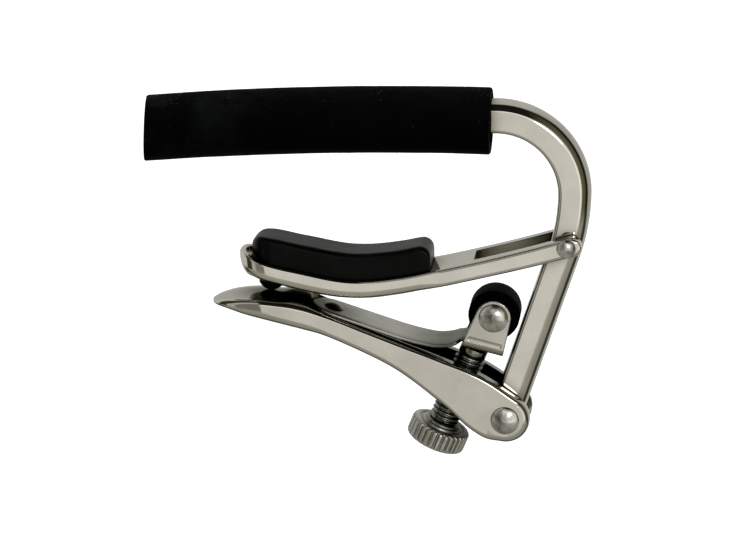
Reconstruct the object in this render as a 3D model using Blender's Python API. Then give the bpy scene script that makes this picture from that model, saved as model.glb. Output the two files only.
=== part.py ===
"""Over-centre roller capo for a guitar neck, as an assembly of its loose pieces.

Lengths are in millimetres until a mesh is made.  X runs along the string bar
towards the bend, Z is up, and the capo is symmetric about the plane Y = 0.
The origin is the middle of the bounding box's underside.
"""

import math

import bpy
import numpy as np

MM = 0.001

# Pivots and axes, as (x, z)
LEVER_PIVOT = (23.55, 7.25)
JAW_PIVOT = (32.9, 36.75)

# Frame: one bent bar of D section, from the lever pivot to the sleeve's end
BAR_HALF_WIDTH = 2.5
BAR_HALF_DEPTH = 2.65
BAR_INNER_ROUND = 0.65
BAR_LEAN = math.radians(17.8)
BAR_STRAIGHT = 28.84
BAR_ELBOW_RADIUS = 33.0
BAR_HOOK_RADIUS = 12.5
BAR_ARCH_RADIUS = 534.0
BAR_END_X = -33.5

# Rubber sleeve on the string bar
SLEEVE_ENDS_X = (-35.85, 20.35)
SLEEVE_APEX = (19.55, 56.22)
SLEEVE_ARCH_RADIUS = 535.0
SLEEVE_OUTER = 5.4
SLEEVE_BORE = 4.0
SLEEVE_EDGE = 0.35
SLEEVE_CUT_SLANT = (-0.14, 0.045)

# Jaw that carries the saddle pad, forked round the bar
ARM_HALF_WIDTH = 4.75
FORK_HALF_GAP = 2.7
JAW_NOSE_X = -20.5
JAW_TOP = [
    (-20.5, 33.98), (-19.0, 33.48), (-17.3, 32.78), (-15.5, 32.23), (-10.0, 31.08), (-1.9, 29.88),
    (6.3, 30.83), (12.75, 32.43), (19.1, 34.08), (26.1, 36.08), (33.7, 38.48),
]
JAW_BOTTOM = [
    (-20.5, 31.68), (-19.5, 30.28), (-17.6, 29.68), (-12.9, 28.58), (-10.0, 27.98), (-3.9, 27.03),
    (1.2, 26.98), (5.6, 27.68), (12.75, 29.38), (19.2, 31.08), (26.1, 32.93), (33.7, 35.18),
]
JAW_EAR_X = 33.7
JAW_FORK_X = 18.0
JAW_EDGE_ROUND = 0.3
JAW_UNDER_ROUND = (0.8, 1.7)
TRAY_HALF_WIDTH = 3.8
TRAY_DEPTH = 0.6
TRAY_ENDS_X = (-19.5, 11.2)

# Saddle pad in the jaw's tray, and the rest button under the jaw's nose
PAD_GAP = 0.15
PAD_TOP_ROUND = 0.9
PAD_END_ROUND = 2.4
PAD_TOP = [
    (-19.5, 36.18), (-16.3, 36.38), (-10.0, 35.38), (-1.9, 34.23), (6.1, 35.08), (9.1, 35.78),
    (11.3, 36.08),
]
BUTTON_X = -15.3
BUTTON_RADIUS = 2.1
BUTTON_STEM = 1.0
BUTTON_HOLE_DEPTH = 1.3
BUTTON_RIM = 0.5
BUTTON_GAP = 0.45

# Closing lever
LEVER_TIP_X = -25.1
LEVER_TOP = [
    (-25.1, 24.88), (-22.9, 25.38), (-19.4, 25.78), (-15.4, 25.73), (-10.0, 24.98), (-4.9, 23.63),
    (0.1, 21.78), (6.37, 19.48), (12.9, 17.13), (20.3, 14.13), (25.75, 10.58),
]
LEVER_BOTTOM = [
    (-25.1, 24.38), (-22.9, 24.18), (-19.0, 23.23), (-10.0, 21.18), (-6.5, 20.38), (-1.1, 18.28),
    (6.4, 14.48), (11.6, 10.63), (14.2, 8.53), (17.4, 5.58), (20.1, 3.83), (23.55, 3.25),
]
LEVER_END_RADIUS = 4.0
LEVER_NOSE_LENGTH = 8.9
LEVER_CROWN = 1.0
LEVER_CROWN_X = -9.4
LEVER_EDGE_ROUND = 0.3
LEVER_UNDER_ROUND = 0.9
LEVER_WEB = 2.9
LEVER_CHANNEL_X = (-0.5, 22.1)
LEVER_LIP = (20.5, 5.03)

# Leaf spring that carries the roller bracket
LEAF_THICKNESS = 0.55
LEAF_HALF_WIDTH = 3.7
LEAF_TONGUE_HALF_WIDTH = 2.8
LEAF_NARROWS_X = 14.3
LEAF_ROOT = (-8.5, 24.93)
LEAF_RIVET_X = -5.25
LEAF_PATH = [(5.8, 20.5), (9.3, 19.63), (12.3, 19.33), (14.7, 19.83)]

# Roller bracket, in its own frame: s along the base, h square to it
BRACKET_CORNER = (16.15, 19.42)
BRACKET_TILT = math.radians(-13.1)
BRACKET_BASE = 7.0
BRACKET_AXLE = (3.96, 6.05)
BRACKET_HEAD_RADIUS = 2.85
BRACKET_HALF_WIDTH = 3.9
BRACKET_PLATE = 0.8
BRACKET_FLOOR = 0.6

ROLLER_RADIUS = 4.2
ROLLER_HALF_WIDTH = 2.7

# Height screw: distances t along its axis from the knob's middle
KNOB_CENTRE = (12.25, 3.154)
SCREW_LEAN = math.radians(21.6)
KNOB_RADIUS = 4.95
KNOB_HALF_HEIGHT = 1.65
KNOB_FLUTES = 30
KNOB_FLUTE_DEPTH = 0.35
KNOB_HUB = (3.4, 2.35)
SCREW_RADIUS = 2.5
SCREW_STUB = 1.9
SCREW_TOP = 14.6
CAP_RADIUS = 2.3
CAP_SPAN = (14.7, 16.33)
CAP_DOME = 0.45
CAP_STEM = (0.9, 12.5)

# Rivets: shank radius, head radius, head height, underside of the head from Y = 0
JAW_RIVET = (0.9, 1.5, 0.55, 4.8)
LEVER_RIVET = (1.4, 2.3, 0.7, 4.8)
AXLE_RIVET = (1.2, 2.35, 0.8, 3.95)
LEAF_RIVET = (1.0, 1.6, 0.55, 2.6)
RUNNING_GAP = 0.05

# How finely the curved pieces are divided
SLEEVE_STEPS = 8
SLEEVE_SIDES = 28
CORNER_STEPS = 4
DOME_STEPS = 3
ROUND_SIDES = 24
LARGE_ROUND_SIDES = 32


def material(name, colour, roughness, metallic):
    """A Principled material."""
    made = bpy.data.materials.new(name)
    made.use_nodes = True
    shader = made.node_tree.nodes["Principled BSDF"]
    shader.inputs["Base Color"].default_value = (*colour, 1.0)
    shader.inputs["Roughness"].default_value = roughness
    shader.inputs["Metallic"].default_value = metallic
    return made


def smooth_curve(points):
    """A smooth z(x) through the given points: cubic pieces with matched slopes."""
    xs = np.array([p[0] for p in points])
    zs = np.array([p[1] for p in points])
    steps = np.diff(xs)
    rises = np.diff(zs) / steps
    slopes = np.empty(len(xs))
    slopes[0] = rises[0]
    slopes[-1] = rises[-1]
    weights = steps[1:] / (steps[:-1] + steps[1:])
    slopes[1:-1] = rises[:-1] * weights + rises[1:] * (1 - weights)

    def height(x):
        i = int(np.clip(np.searchsorted(xs, x) - 1, 0, len(steps) - 1))
        u = (x - xs[i]) / steps[i]
        start = (1 + 2 * u) * (1 - u) ** 2 * zs[i] + u * (1 - u) ** 2 * steps[i] * slopes[i]
        end = u * u * (3 - 2 * u) * zs[i + 1] + u * u * (u - 1) * steps[i] * slopes[i + 1]
        return float(start + end)

    return height


def new_object(name, points, faces, finish, origin=(0, 0, 0)):
    """One object from points in millimetres, its own origin at the given point."""
    shift = np.array(origin, dtype=float)
    mesh = bpy.data.meshes.new(name)
    local = [tuple((np.array(p, dtype=float) - shift) * MM) for p in points]
    mesh.from_pydata(local, [], faces)
    mesh.update()
    made = bpy.data.objects.new(name, mesh)
    made.location = shift * MM
    bpy.context.collection.objects.link(made)
    face_outwards(mesh)
    if finish:
        mesh.materials.append(finish)
        mesh.shade_smooth()
        mesh.set_sharp_from_angle(angle=math.radians(35))
    return made


def face_outwards(mesh):
    """Turn every face of a closed mesh outwards, judged by its signed volume."""
    volume = 0.0
    for face in mesh.polygons:
        corners = [mesh.vertices[i].co for i in face.vertices]
        for b, c in zip(corners[1:], corners[2:]):
            volume += corners[0].dot(b.cross(c))
    if volume < 0:
        mesh.flip_normals()


def loft(name, rings, finish, origin=(0, 0, 0), closed=False):
    """Skin a row of rings with the same number of points; cap both ends unless closed."""
    count = len(rings[0])
    points = [p for ring in rings for p in ring]
    faces = []
    last = len(rings) if closed else len(rings) - 1
    for i in range(last):
        j = (i + 1) % len(rings)
        for k in range(count):
            m = (k + 1) % count
            faces.append((i * count + k, i * count + m, j * count + m, j * count + k))
    if not closed:
        faces.append(tuple(reversed(range(count))))
        faces.append(tuple((len(rings) - 1) * count + k for k in range(count)))
    return new_object(name, points, faces, finish, origin)


def turned(name, profile, centre, axis, finish, segments=ROUND_SIDES, closed=False):
    """Turn (radius, distance along the axis) points round an axis through centre."""
    along = np.array(axis, dtype=float)
    along /= np.linalg.norm(along)
    side = np.array((0.0, 1.0, 0.0)) if abs(along[1]) < 0.9 else np.array((1.0, 0.0, 0.0))
    across = np.cross(along, side)
    across /= np.linalg.norm(across)
    other = np.cross(along, across)
    rings = []
    for radius, t in profile:
        ring = []
        for k in range(segments):
            angle = 2 * math.pi * k / segments
            spoke = math.cos(angle) * across + math.sin(angle) * other
            ring.append(tuple(np.array(centre) + along * t + spoke * radius))
        rings.append(ring)
    return loft(name, rings, finish, centre, closed)


def cut(target, *cutters):
    """Subtract cutters from a target and keep them out of the render."""
    for cutter in cutters:
        cutter.hide_render = True
        cutter.display_type = "WIRE"
        step = target.modifiers.new("cut_" + cutter.name, "BOOLEAN")
        step.operation = "DIFFERENCE"
        step.object = cutter


def plate(name, outline, low_y, high_y):
    """A cutter or plate: an (x, z) outline extruded along Y."""
    rings = [[(x, y, z) for x, z in outline] for y in (low_y, high_y)]
    return loft(name, rings, None)


def box_outline(low, high):
    """(x, z) outline of an upright rectangle from two opposite corners."""
    return [low, (high[0], low[1]), high, (low[0], high[1])]


def hole_across(name, centre, radius, reach):
    """A round cutter along Y through the (x, z) point."""
    profile = [(radius, -reach), (radius, reach)]
    return turned(name, profile, (centre[0], 0, centre[1]), (0, 1, 0), None)


def dome_profile(radius, height, base, steps=DOME_STEPS):
    """(radius, distance) points of a shallow dome from its rim to near its top."""
    sphere = (radius * radius + height * height) / (2 * height)
    widest = math.asin(radius / sphere)
    points = []
    for i in range(steps + 1):
        angle = widest * (1 - i / (steps + 0.3))
        points.append((sphere * math.sin(angle), base + height - sphere * (1 - math.cos(angle))))
    return points


def through_rivet(name, centre, spec, finish):
    """A rivet along Y with a domed head at each end."""
    shank, head, height, base = spec
    upper = dome_profile(head, height, base)
    lower = [(r, -t) for r, t in reversed(upper)]
    profile = lower + [(shank, -base), (shank, base)] + upper
    return turned(name, profile, (centre[0], 0, centre[1]), (0, 1, 0), finish)


def section(half_width, top, bottom, top_round, bottom_round, crown=0.0):
    """(y, z) points of a bar section with rounded corners and a crowned top."""
    height = top - bottom
    top_round = min(top_round, 0.45 * height, 0.9 * half_width)
    bottom_round = min(bottom_round, 0.5 * height, 0.9 * half_width)
    points = []
    for sign, radius, base in ((-1, bottom_round, bottom + bottom_round), (1, top_round, top - top_round)):
        start = -90 if sign < 0 else 0
        for i in range(CORNER_STEPS):
            angle = math.radians(start + 90 * i / (CORNER_STEPS - 1))
            points.append((half_width - radius + radius * math.cos(angle), base + radius * math.sin(angle)))
    flat = half_width - top_round
    crowned = [(y, z + crown * max(0.0, 1 - (y / half_width) ** 2)) if z > top - top_round else (y, z)
               for y, z in points]
    middle = [(flat * u, top + crown * (1 - (flat * u / half_width) ** 2)) for u in (0.5, 0.0, -0.5)]
    mirrored = [(-y, z) for y, z in reversed(crowned)]
    return crowned + middle + mirrored


def rounded_end(centre_x, centre_z, radius, side, steps=5, edge=0.0):
    """Stations (x, top, bottom, inset) that close a bar with a half round in side view."""
    stations = []
    for i in range(1, steps + 1):
        angle = math.radians(84 * i / steps)
        reach = radius * math.cos(angle)
        inset = edge * (1 - math.sqrt(max(0.0, 1 - math.sin(angle) ** 8)))
        stations.append((centre_x + side * radius * math.sin(angle), centre_z + reach,
                         centre_z - reach, inset))
    return stations


def bar_section():
    """(n, y) points of the D section: flat flanks, round back, softened inner corners."""
    flank = math.sqrt(BAR_HALF_DEPTH ** 2 - BAR_HALF_WIDTH ** 2)
    limit = math.atan2(BAR_HALF_WIDTH, flank)
    points = []
    for i in range(9):
        angle = -limit + 2 * limit * i / 8
        points.append((BAR_HALF_DEPTH * math.cos(angle), BAR_HALF_DEPTH * math.sin(angle)))
    for sign in (1, -1):
        turns = range(4) if sign > 0 else range(3, -1, -1)
        for i in turns:
            angle = math.radians(90 + 30 * i)
            n = -BAR_HALF_DEPTH + BAR_INNER_ROUND + BAR_INNER_ROUND * math.cos(angle)
            y = BAR_HALF_WIDTH - BAR_INNER_ROUND + BAR_INNER_ROUND * math.sin(angle)
            points.append((n, sign * y))
    return points


def bar_path():
    """Stations (x, z, heading, depth scale) up the bar and along under the sleeve."""
    heading = math.pi / 2 - BAR_LEAN
    x, z = LEVER_PIVOT
    ahead = (math.cos(heading), math.sin(heading))
    stations = []
    for i in range(4):
        angle = math.radians(80 - 20 * i)
        back = BAR_HALF_DEPTH * math.sin(angle)
        stations.append((x - back * ahead[0], z - back * ahead[1], heading, math.cos(angle)))
    stations.append((x, z, heading, 1.0))
    x += BAR_STRAIGHT * ahead[0]
    z += BAR_STRAIGHT * ahead[1]
    stations.append((x, z, heading, 1.0))
    arch_turn = (x + BAR_HOOK_RADIUS - BAR_END_X) / BAR_ARCH_RADIUS
    for radius, turn, steps in (
        (BAR_ELBOW_RADIUS, BAR_LEAN, 5),
        (BAR_HOOK_RADIUS, math.pi / 2, 16),
        (BAR_ARCH_RADIUS, arch_turn, 7),
    ):
        for _ in range(steps):
            step = turn / steps
            chord = 2 * radius * math.sin(step / 2)
            x += chord * math.cos(heading + step / 2)
            z += chord * math.sin(heading + step / 2)
            heading += step
            stations.append((x, z, heading, 1.0))
    kept = [s for s in stations if s[0] > BAR_END_X]
    last, beyond = kept[-1], stations[len(kept)]
    part = (last[0] - BAR_END_X) / (last[0] - beyond[0])
    return kept + [tuple(a + part * (b - a) for a, b in zip(last, beyond))]


def make_frame_bar(finish):
    """The bent bar, drilled for the jaw's and the lever's rivets."""
    rings = []
    for x, z, heading, scale in bar_path():
        out = (math.sin(heading), -math.cos(heading))
        rings.append([(x + n * scale * out[0], y, z + n * scale * out[1]) for n, y in bar_section()])
    bar = loft("frame_bar", rings, finish)
    for name, centre, rivet in (
        ("bar_hole_jaw", JAW_PIVOT, JAW_RIVET),
        ("bar_hole_lever", LEVER_PIVOT, LEVER_RIVET),
    ):
        cut(bar, hole_across(name, centre, rivet[0] + RUNNING_GAP, 4))
    return bar


def sleeve_height(x):
    """Height of the sleeve's centre line."""
    return SLEEVE_APEX[1] - (x - SLEEVE_APEX[0]) ** 2 / (2 * SLEEVE_ARCH_RADIUS)


def make_sleeve(finish):
    """A rubber tube, gently arched, with softened rims and one end cut a little askew."""
    left, right = SLEEVE_ENDS_X
    soft = SLEEVE_EDGE
    walk = [(left, SLEEVE_OUTER - soft), (left + soft, SLEEVE_OUTER)]
    for i in range(1, SLEEVE_STEPS):
        walk.append((left + (right - left) * i / SLEEVE_STEPS, SLEEVE_OUTER))
    walk += [(right - soft, SLEEVE_OUTER), (right, SLEEVE_OUTER - soft), (right, SLEEVE_BORE)]
    for i in range(SLEEVE_STEPS - 1, 0, -1):
        walk.append((left + (right - left) * i / SLEEVE_STEPS, SLEEVE_BORE))
    walk.append((left, SLEEVE_BORE))
    rings = []
    for x, radius in walk:
        askew = max(0.0, 1 - (x - left) / 10.0)
        ring = []
        for k in range(SLEEVE_SIDES):
            angle = 2 * math.pi * k / SLEEVE_SIDES
            y, rise = radius * math.cos(angle), radius * math.sin(angle)
            slant = askew * (SLEEVE_CUT_SLANT[0] * y + SLEEVE_CUT_SLANT[1] * rise)
            ring.append((x + slant, y, sleeve_height(x) + rise))
        rings.append(ring)
    return loft("string_sleeve", rings, finish, closed=True)


def nose_stations(tip_x, length, half_width, steps=7):
    """(x, half width) of a nose that is half an ellipse in plan."""
    stations = []
    for i in range(steps):
        angle = math.radians(84 * (1 - i / steps))
        stations.append((tip_x + length * (1 - math.sin(angle)), half_width * math.cos(angle)))
    return stations


def make_jaw(finish):
    """The jaw: a spoon-nosed bar with a tray for the pad and a fork for the frame."""
    top = smooth_curve(JAW_TOP)
    bottom = smooth_curve(JAW_BOTTOM)
    nose = nose_stations(JAW_NOSE_X, ARM_HALF_WIDTH, ARM_HALF_WIDTH)
    start = JAW_NOSE_X + ARM_HALF_WIDTH
    body = [(start + (JAW_EAR_X - start) * i / 16, ARM_HALF_WIDTH) for i in range(17)]
    slim, full = JAW_UNDER_ROUND
    rings = []
    for x, half in nose + body:
        blend = float(np.clip((14.1 - x) / 7.0, 0, 1))
        under = slim + (full - slim) * blend
        corners = section(half, top(x), bottom(x), JAW_EDGE_ROUND, under)
        rings.append([(x, y, z) for y, z in corners])
    high, low = top(JAW_EAR_X), bottom(JAW_EAR_X)
    for x, t, b, inset in rounded_end(JAW_EAR_X, (high + low) / 2, (high - low) / 2, 1, edge=0.5):
        corners = section(ARM_HALF_WIDTH - inset, t, b, JAW_EDGE_ROUND, slim)
        rings.append([(x, y, z) for y, z in corners])
    jaw = loft("jaw", rings, finish)

    fork = plate("jaw_fork", box_outline((JAW_FORK_X, 25), (40, 45)), -FORK_HALF_GAP, FORK_HALF_GAP)
    tray_rings = tray_shape(TRAY_HALF_WIDTH, TRAY_ENDS_X, lambda x: 42.0, lambda x: top(x) - TRAY_DEPTH)
    tray = loft("jaw_tray", tray_rings, None)
    pin = hole_across("jaw_pin_hole", JAW_PIVOT, JAW_RIVET[0] + RUNNING_GAP, 8)
    radius = BUTTON_STEM + RUNNING_GAP
    stem = turned("jaw_button_hole", [(radius, -4), (radius, BUTTON_HOLE_DEPTH)],
                  (BUTTON_X, 0, bottom(BUTTON_X)), (0, 0, 1), None)
    cut(jaw, fork, tray, pin, stem)
    return jaw


def tray_shape(half_width, ends, top, bottom, top_round=0.0, end_round=0.0):
    """Rings of the tray's cutter or of the pad: round nose, square heel."""
    nose = nose_stations(ends[0], half_width, half_width, 6)
    start = ends[0] + half_width
    heel = [ends[1] - end_round * (1 - math.sin(math.radians(a))) for a in (0, 30, 55, 75, 90)]
    if end_round == 0.0:
        heel = [ends[1]]
    body = [(start + (heel[0] - start) * i / 11, half_width) for i in range(11)]
    body += [(x, half_width) for x in heel]
    rings = []
    for x, half in nose + body:
        drop = 0.0
        nearest = min(x - ends[0], ends[1] - x)
        if nearest < end_round:
            drop = end_round - math.sqrt(max(0.0, end_round ** 2 - (end_round - nearest) ** 2))
        rings.append([(x, y, z) for y, z in section(half, top(x) - drop, bottom(x), top_round, 0.02)])
    return rings


def make_saddle_pad(finish):
    """The hollowed rubber pad, a little smaller than its tray."""
    floor = smooth_curve(JAW_TOP)
    ends = (TRAY_ENDS_X[0] + PAD_GAP, TRAY_ENDS_X[1] - PAD_GAP)
    top = smooth_curve(PAD_TOP)
    rings = tray_shape(TRAY_HALF_WIDTH - PAD_GAP, ends, top, lambda x: floor(x) - TRAY_DEPTH + 0.1,
                       PAD_TOP_ROUND, PAD_END_ROUND)
    return loft("saddle_pad", rings, finish)


def make_rest_button(finish):
    """Rubber button whose stem is pushed into the jaw's underside."""
    seat = smooth_curve(JAW_BOTTOM)(BUTTON_X)
    lever_top = smooth_curve(LEVER_TOP)(BUTTON_X) + LEVER_CROWN
    head = seat - BUTTON_GAP
    height = head - lever_top - RUNNING_GAP
    dome = [(r, -t) for r, t in dome_profile(BUTTON_RADIUS, height - BUTTON_RIM, BUTTON_RIM)]
    stem_top = BUTTON_GAP + BUTTON_HOLE_DEPTH - RUNNING_GAP
    profile = list(reversed(dome)) + [(BUTTON_RADIUS, 0), (BUTTON_STEM, 0), (BUTTON_STEM, stem_top)]
    return turned("rest_button", profile, (BUTTON_X, 0, head), (0, 0, 1), finish)


def lever_section_at(x):
    """Crown and lower corner radius of the lever at a station."""
    fade = float(np.clip((LEVER_CROWN_X - x) / 5.0, 0, 1))
    crown = LEVER_CROWN * fade * fade * (3 - 2 * fade)
    return crown, LEVER_UNDER_ROUND + 0.5 * fade


def make_lever(finish):
    """The lever: a spoon-nosed bar with a channel for the frame and the screw."""
    top = smooth_curve(LEVER_TOP)
    bottom = smooth_curve(LEVER_BOTTOM)
    rings = []
    nose = nose_stations(LEVER_TIP_X, LEVER_NOSE_LENGTH, ARM_HALF_WIDTH, 9)
    start = LEVER_TIP_X + LEVER_NOSE_LENGTH
    shoulder = LEVER_TOP[-1][0]
    body = [(start + (shoulder - start) * i / 20, ARM_HALF_WIDTH) for i in range(21)]
    for x, half in nose + body:
        crown, under = lever_section_at(x)
        crown *= half / ARM_HALF_WIDTH
        low = bottom(x) if x < LEVER_PIVOT[0] else end_circle(x, -1)
        corners = section(half, top(x), low, LEVER_EDGE_ROUND, under, crown)
        rings.append([(x, y, z) for y, z in corners])
    first = math.asin((shoulder - LEVER_PIVOT[0]) / LEVER_END_RADIUS)
    for i in range(1, 6):
        angle = first + (math.radians(84) - first) * i / 5
        x = LEVER_PIVOT[0] + LEVER_END_RADIUS * math.sin(angle)
        half = ARM_HALF_WIDTH - 0.8 * (1 - math.sqrt(1 - (i / 5) ** 4))
        corners = section(half, end_circle(x, 1), end_circle(x, -1), LEVER_EDGE_ROUND, LEVER_UNDER_ROUND)
        rings.append([(x, y, z) for y, z in corners])
    lever = loft("lever", rings, finish)
    cut(lever, lever_channel(bottom), leaf_seat(), *lever_holes())
    return lever


def end_circle(x, side):
    """Height of the lever's round end above (side 1) or below (side -1) the pivot."""
    reach = LEVER_END_RADIUS ** 2 - (x - LEVER_PIVOT[0]) ** 2
    return LEVER_PIVOT[1] + side * math.sqrt(max(0.0, reach))


def lever_channel(bottom):
    """Cutter of the channel between the lever's walls, open at the pivot end."""
    first, last = LEVER_CHANNEL_X
    floor = [(first, 30.0), (first, bottom(first) + LEVER_WEB)]
    for i in range(1, 9):
        x = first + (19.1 - first) * i / 9
        floor.append((x, bottom(x) + LEVER_WEB))
    floor += [LEVER_LIP, (last, LEVER_LIP[1] - 0.5), (last, -5.0), (35.0, -5.0), (35.0, 30.0)]
    return plate("lever_channel", floor, -FORK_HALF_GAP, FORK_HALF_GAP)


def leaf_line(x):
    """Height of the straight root of the leaf spring's underside."""
    slope = (LEAF_PATH[0][1] - LEAF_ROOT[1]) / (LEAF_PATH[0][0] - LEAF_ROOT[0])
    return LEAF_ROOT[1] + slope * (x - LEAF_ROOT[0]) - LEAF_THICKNESS / 2 / math.cos(math.atan(slope))


def leaf_seat():
    """Cutter of the shallow seat that the leaf spring's root lies in."""
    ends = (LEAF_ROOT[0] - 0.35, 5.1)
    rings = tray_shape(LEAF_HALF_WIDTH + 0.25, ends, lambda x: 32.0, lambda x: leaf_line(x) - 0.12)
    return loft("leaf_seat", rings, None)


def leaf_normal():
    """Unit normal (x, z) of the leaf spring's straight root."""
    dx = LEAF_PATH[0][0] - LEAF_ROOT[0]
    dz = LEAF_PATH[0][1] - LEAF_ROOT[1]
    length = math.hypot(dx, dz)
    return -dz / length, dx / length


def lever_holes():
    """Cutters of the pivot hole, the screw's hole and the leaf rivet's hole."""
    pivot = hole_across("lever_pin_hole", LEVER_PIVOT, LEVER_RIVET[0] + RUNNING_GAP, 8)
    clear = SCREW_RADIUS + RUNNING_GAP
    axis = screw_axis()
    screw = turned("lever_screw_hole", [(clear, 2.0), (clear, 17.0)], screw_point(0), axis, None, LARGE_ROUND_SIDES)
    nx, nz = leaf_normal()
    x = LEAF_RIVET_X
    radius = LEAF_RIVET[0] + RUNNING_GAP
    rivet = turned("lever_rivet_hole", [(radius, -LEAF_RIVET[3] + 0.3), (radius, 2.0)],
                   (x, 0, leaf_line(x)), (nx, 0, nz), None)
    return pivot, screw, rivet


def screw_axis():
    """Unit vector up the height screw."""
    return math.sin(SCREW_LEAN), 0.0, math.cos(SCREW_LEAN)


def screw_point(t):
    """Point on the height screw's axis."""
    ax, _, az = screw_axis()
    return KNOB_CENTRE[0] + t * ax, 0.0, KNOB_CENTRE[1] + t * az


def bracket_point(s, h):
    """(x, z) of a point given in the bracket's own frame."""
    c, d = math.cos(BRACKET_TILT), math.sin(BRACKET_TILT)
    return BRACKET_CORNER[0] + s * c - h * d, BRACKET_CORNER[1] + s * d + h * c


def leaf_centre_line():
    """(x, z) stations of the leaf spring: straight root, dip, tongue in the bracket."""
    stations = []
    for i in range(8):
        u = i / 8
        stations.append((LEAF_ROOT[0] + 14.3 * u, LEAF_ROOT[1] + (LEAF_PATH[0][1] - LEAF_ROOT[1]) * u))
    seat = BRACKET_FLOOR + 0.1 + LEAF_THICKNESS / 2
    bend = [LEAF_PATH[0], *LEAF_PATH[1:], bracket_point(0.35, seat), bracket_point(1.6, seat)]
    curve = smooth_curve(bend)
    for i in range(14):
        x = bend[0][0] + (bend[-1][0] - bend[0][0]) * i / 14
        stations.append((x, curve(x)))
    stations.append(bracket_point(1.6, seat))
    stations.append(bracket_point(5.4, seat))
    return stations


def leaf_half_width(x):
    """Half width of the leaf: round root, full strip, narrow tongue in the bracket."""
    from_root = x - LEAF_ROOT[0]
    if from_root < LEAF_HALF_WIDTH:
        return LEAF_HALF_WIDTH * math.sqrt(1 - (1 - from_root / LEAF_HALF_WIDTH) ** 2)
    narrow = float(np.clip((x - LEAF_NARROWS_X) / 1.2, 0, 1))
    return LEAF_HALF_WIDTH + (LEAF_TONGUE_HALF_WIDTH - LEAF_HALF_WIDTH) * narrow


def make_leaf_spring(finish):
    """The flat spring, drilled for its rivet."""
    line = leaf_centre_line()
    first = [(LEAF_ROOT[0] + d, LEAF_ROOT[1] - d * math.tan(math.acos(leaf_normal()[1])))
             for d in (0.05, 0.3, 0.8)]
    line = first + line[1:]
    rings = []
    for i, (x, z) in enumerate(line):
        back = line[max(i - 1, 0)]
        ahead = line[min(i + 1, len(line) - 1)]
        length = math.hypot(ahead[0] - back[0], ahead[1] - back[1])
        nx, nz = -(ahead[1] - back[1]) / length, (ahead[0] - back[0]) / length
        half = leaf_half_width(x)
        reach = LEAF_THICKNESS / 2
        corners = [(half, -reach), (half, reach), (0, reach), (-half, reach), (-half, -reach), (0, -reach)]
        rings.append([(x + nx * r, y, z + nz * r) for y, r in corners])
    leaf = loft("leaf_spring", rings, finish)
    nx, nz = leaf_normal()
    radius = LEAF_RIVET[0] + RUNNING_GAP
    x = LEAF_RIVET_X
    hole = turned("leaf_hole", [(radius, -2.0), (radius, 3.0)], (x, 0, leaf_line(x)), (nx, 0, nz), None)
    cut(leaf, hole)
    return leaf


def make_leaf_rivet(finish):
    """Rivet that holds the leaf spring's root to the lever."""
    shank, head, height, depth = LEAF_RIVET
    nx, nz = leaf_normal()
    base = LEAF_THICKNESS + 0.1
    profile = [(shank, -depth + 0.5), (shank, base)] + dome_profile(head, height, base)
    centre = (LEAF_RIVET_X, 0, leaf_line(LEAF_RIVET_X))
    return turned("leaf_spring_rivet", profile, centre, (nx, 0, nz), finish)


def bracket_outline():
    """(x, z) outline of the bracket's side plate: straight base, tapered, round head."""
    cs, ch = BRACKET_AXLE
    r = BRACKET_HEAD_RADIUS
    corners = ((0.0, 0.0), (BRACKET_BASE, 0.0))
    limits = []
    for (s, h), side in zip(corners, (-1, 1)):
        bearing = math.atan2(h - ch, s - cs)
        open_angle = math.acos(r / math.hypot(h - ch, s - cs))
        limits.append(bearing + side * open_angle)
    left, right = limits[0] + 2 * math.pi, limits[1]
    outline = [bracket_point(*corners[0]), bracket_point(*corners[1])]
    for i in range(13):
        angle = right + (left - right) * i / 12
        outline.append(bracket_point(cs + r * math.cos(angle), ch + r * math.sin(angle)))
    return outline


def make_roller_bracket(finish):
    """U-shaped bracket: two side plates on a thin base, drilled for the axle."""
    bracket = plate("roller_bracket", bracket_outline(), -BRACKET_HALF_WIDTH, BRACKET_HALF_WIDTH)
    bracket.data.materials.append(finish)
    bracket.data.shade_smooth()
    bracket.data.set_sharp_from_angle(angle=math.radians(35))
    inside = BRACKET_HALF_WIDTH - BRACKET_PLATE
    box = [bracket_point(s, h) for s, h in ((-4, BRACKET_FLOOR), (12, BRACKET_FLOOR), (12, 12), (-4, 12))]
    room = plate("bracket_room", box, -inside, inside)
    pin = hole_across("bracket_pin_hole", bracket_point(*BRACKET_AXLE), AXLE_RIVET[0] + RUNNING_GAP, 6)
    cut(bracket, room, pin)
    return bracket


def make_roller(finish):
    """Roller that runs on the jaw's underside, bored for its rivet."""
    bore = AXLE_RIVET[0] + 2 * RUNNING_GAP
    w, r, c = ROLLER_HALF_WIDTH, ROLLER_RADIUS, 0.4
    profile = [(bore, -w), (r - c, -w), (r - 0.3 * c, -w + 0.3 * c), (r, -w + c), (r, w - c),
               (r - 0.3 * c, w - 0.3 * c), (r - c, w), (bore, w)]
    x, z = bracket_point(*BRACKET_AXLE)
    return turned("roller", profile, (x, 0, z), (0, 1, 0), finish, LARGE_ROUND_SIDES, closed=True)


def make_adjusting_screw(finish):
    """Height screw: stub for the knob, threaded length, blind bore for the cap's stem."""
    stub = SCREW_STUB
    bore = CAP_STEM[0] + RUNNING_GAP
    profile = [
        (stub, -KNOB_HALF_HEIGHT + 0.15), (stub, KNOB_HUB[1] + 0.05),
        (SCREW_RADIUS, KNOB_HUB[1] + 0.05), (SCREW_RADIUS, SCREW_TOP - 0.4),
        (SCREW_RADIUS - 0.4, SCREW_TOP), (bore, SCREW_TOP), (bore, CAP_STEM[1] - 0.1),
    ]
    return turned("adjusting_screw", profile, screw_point(0), screw_axis(), finish, LARGE_ROUND_SIDES)


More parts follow.
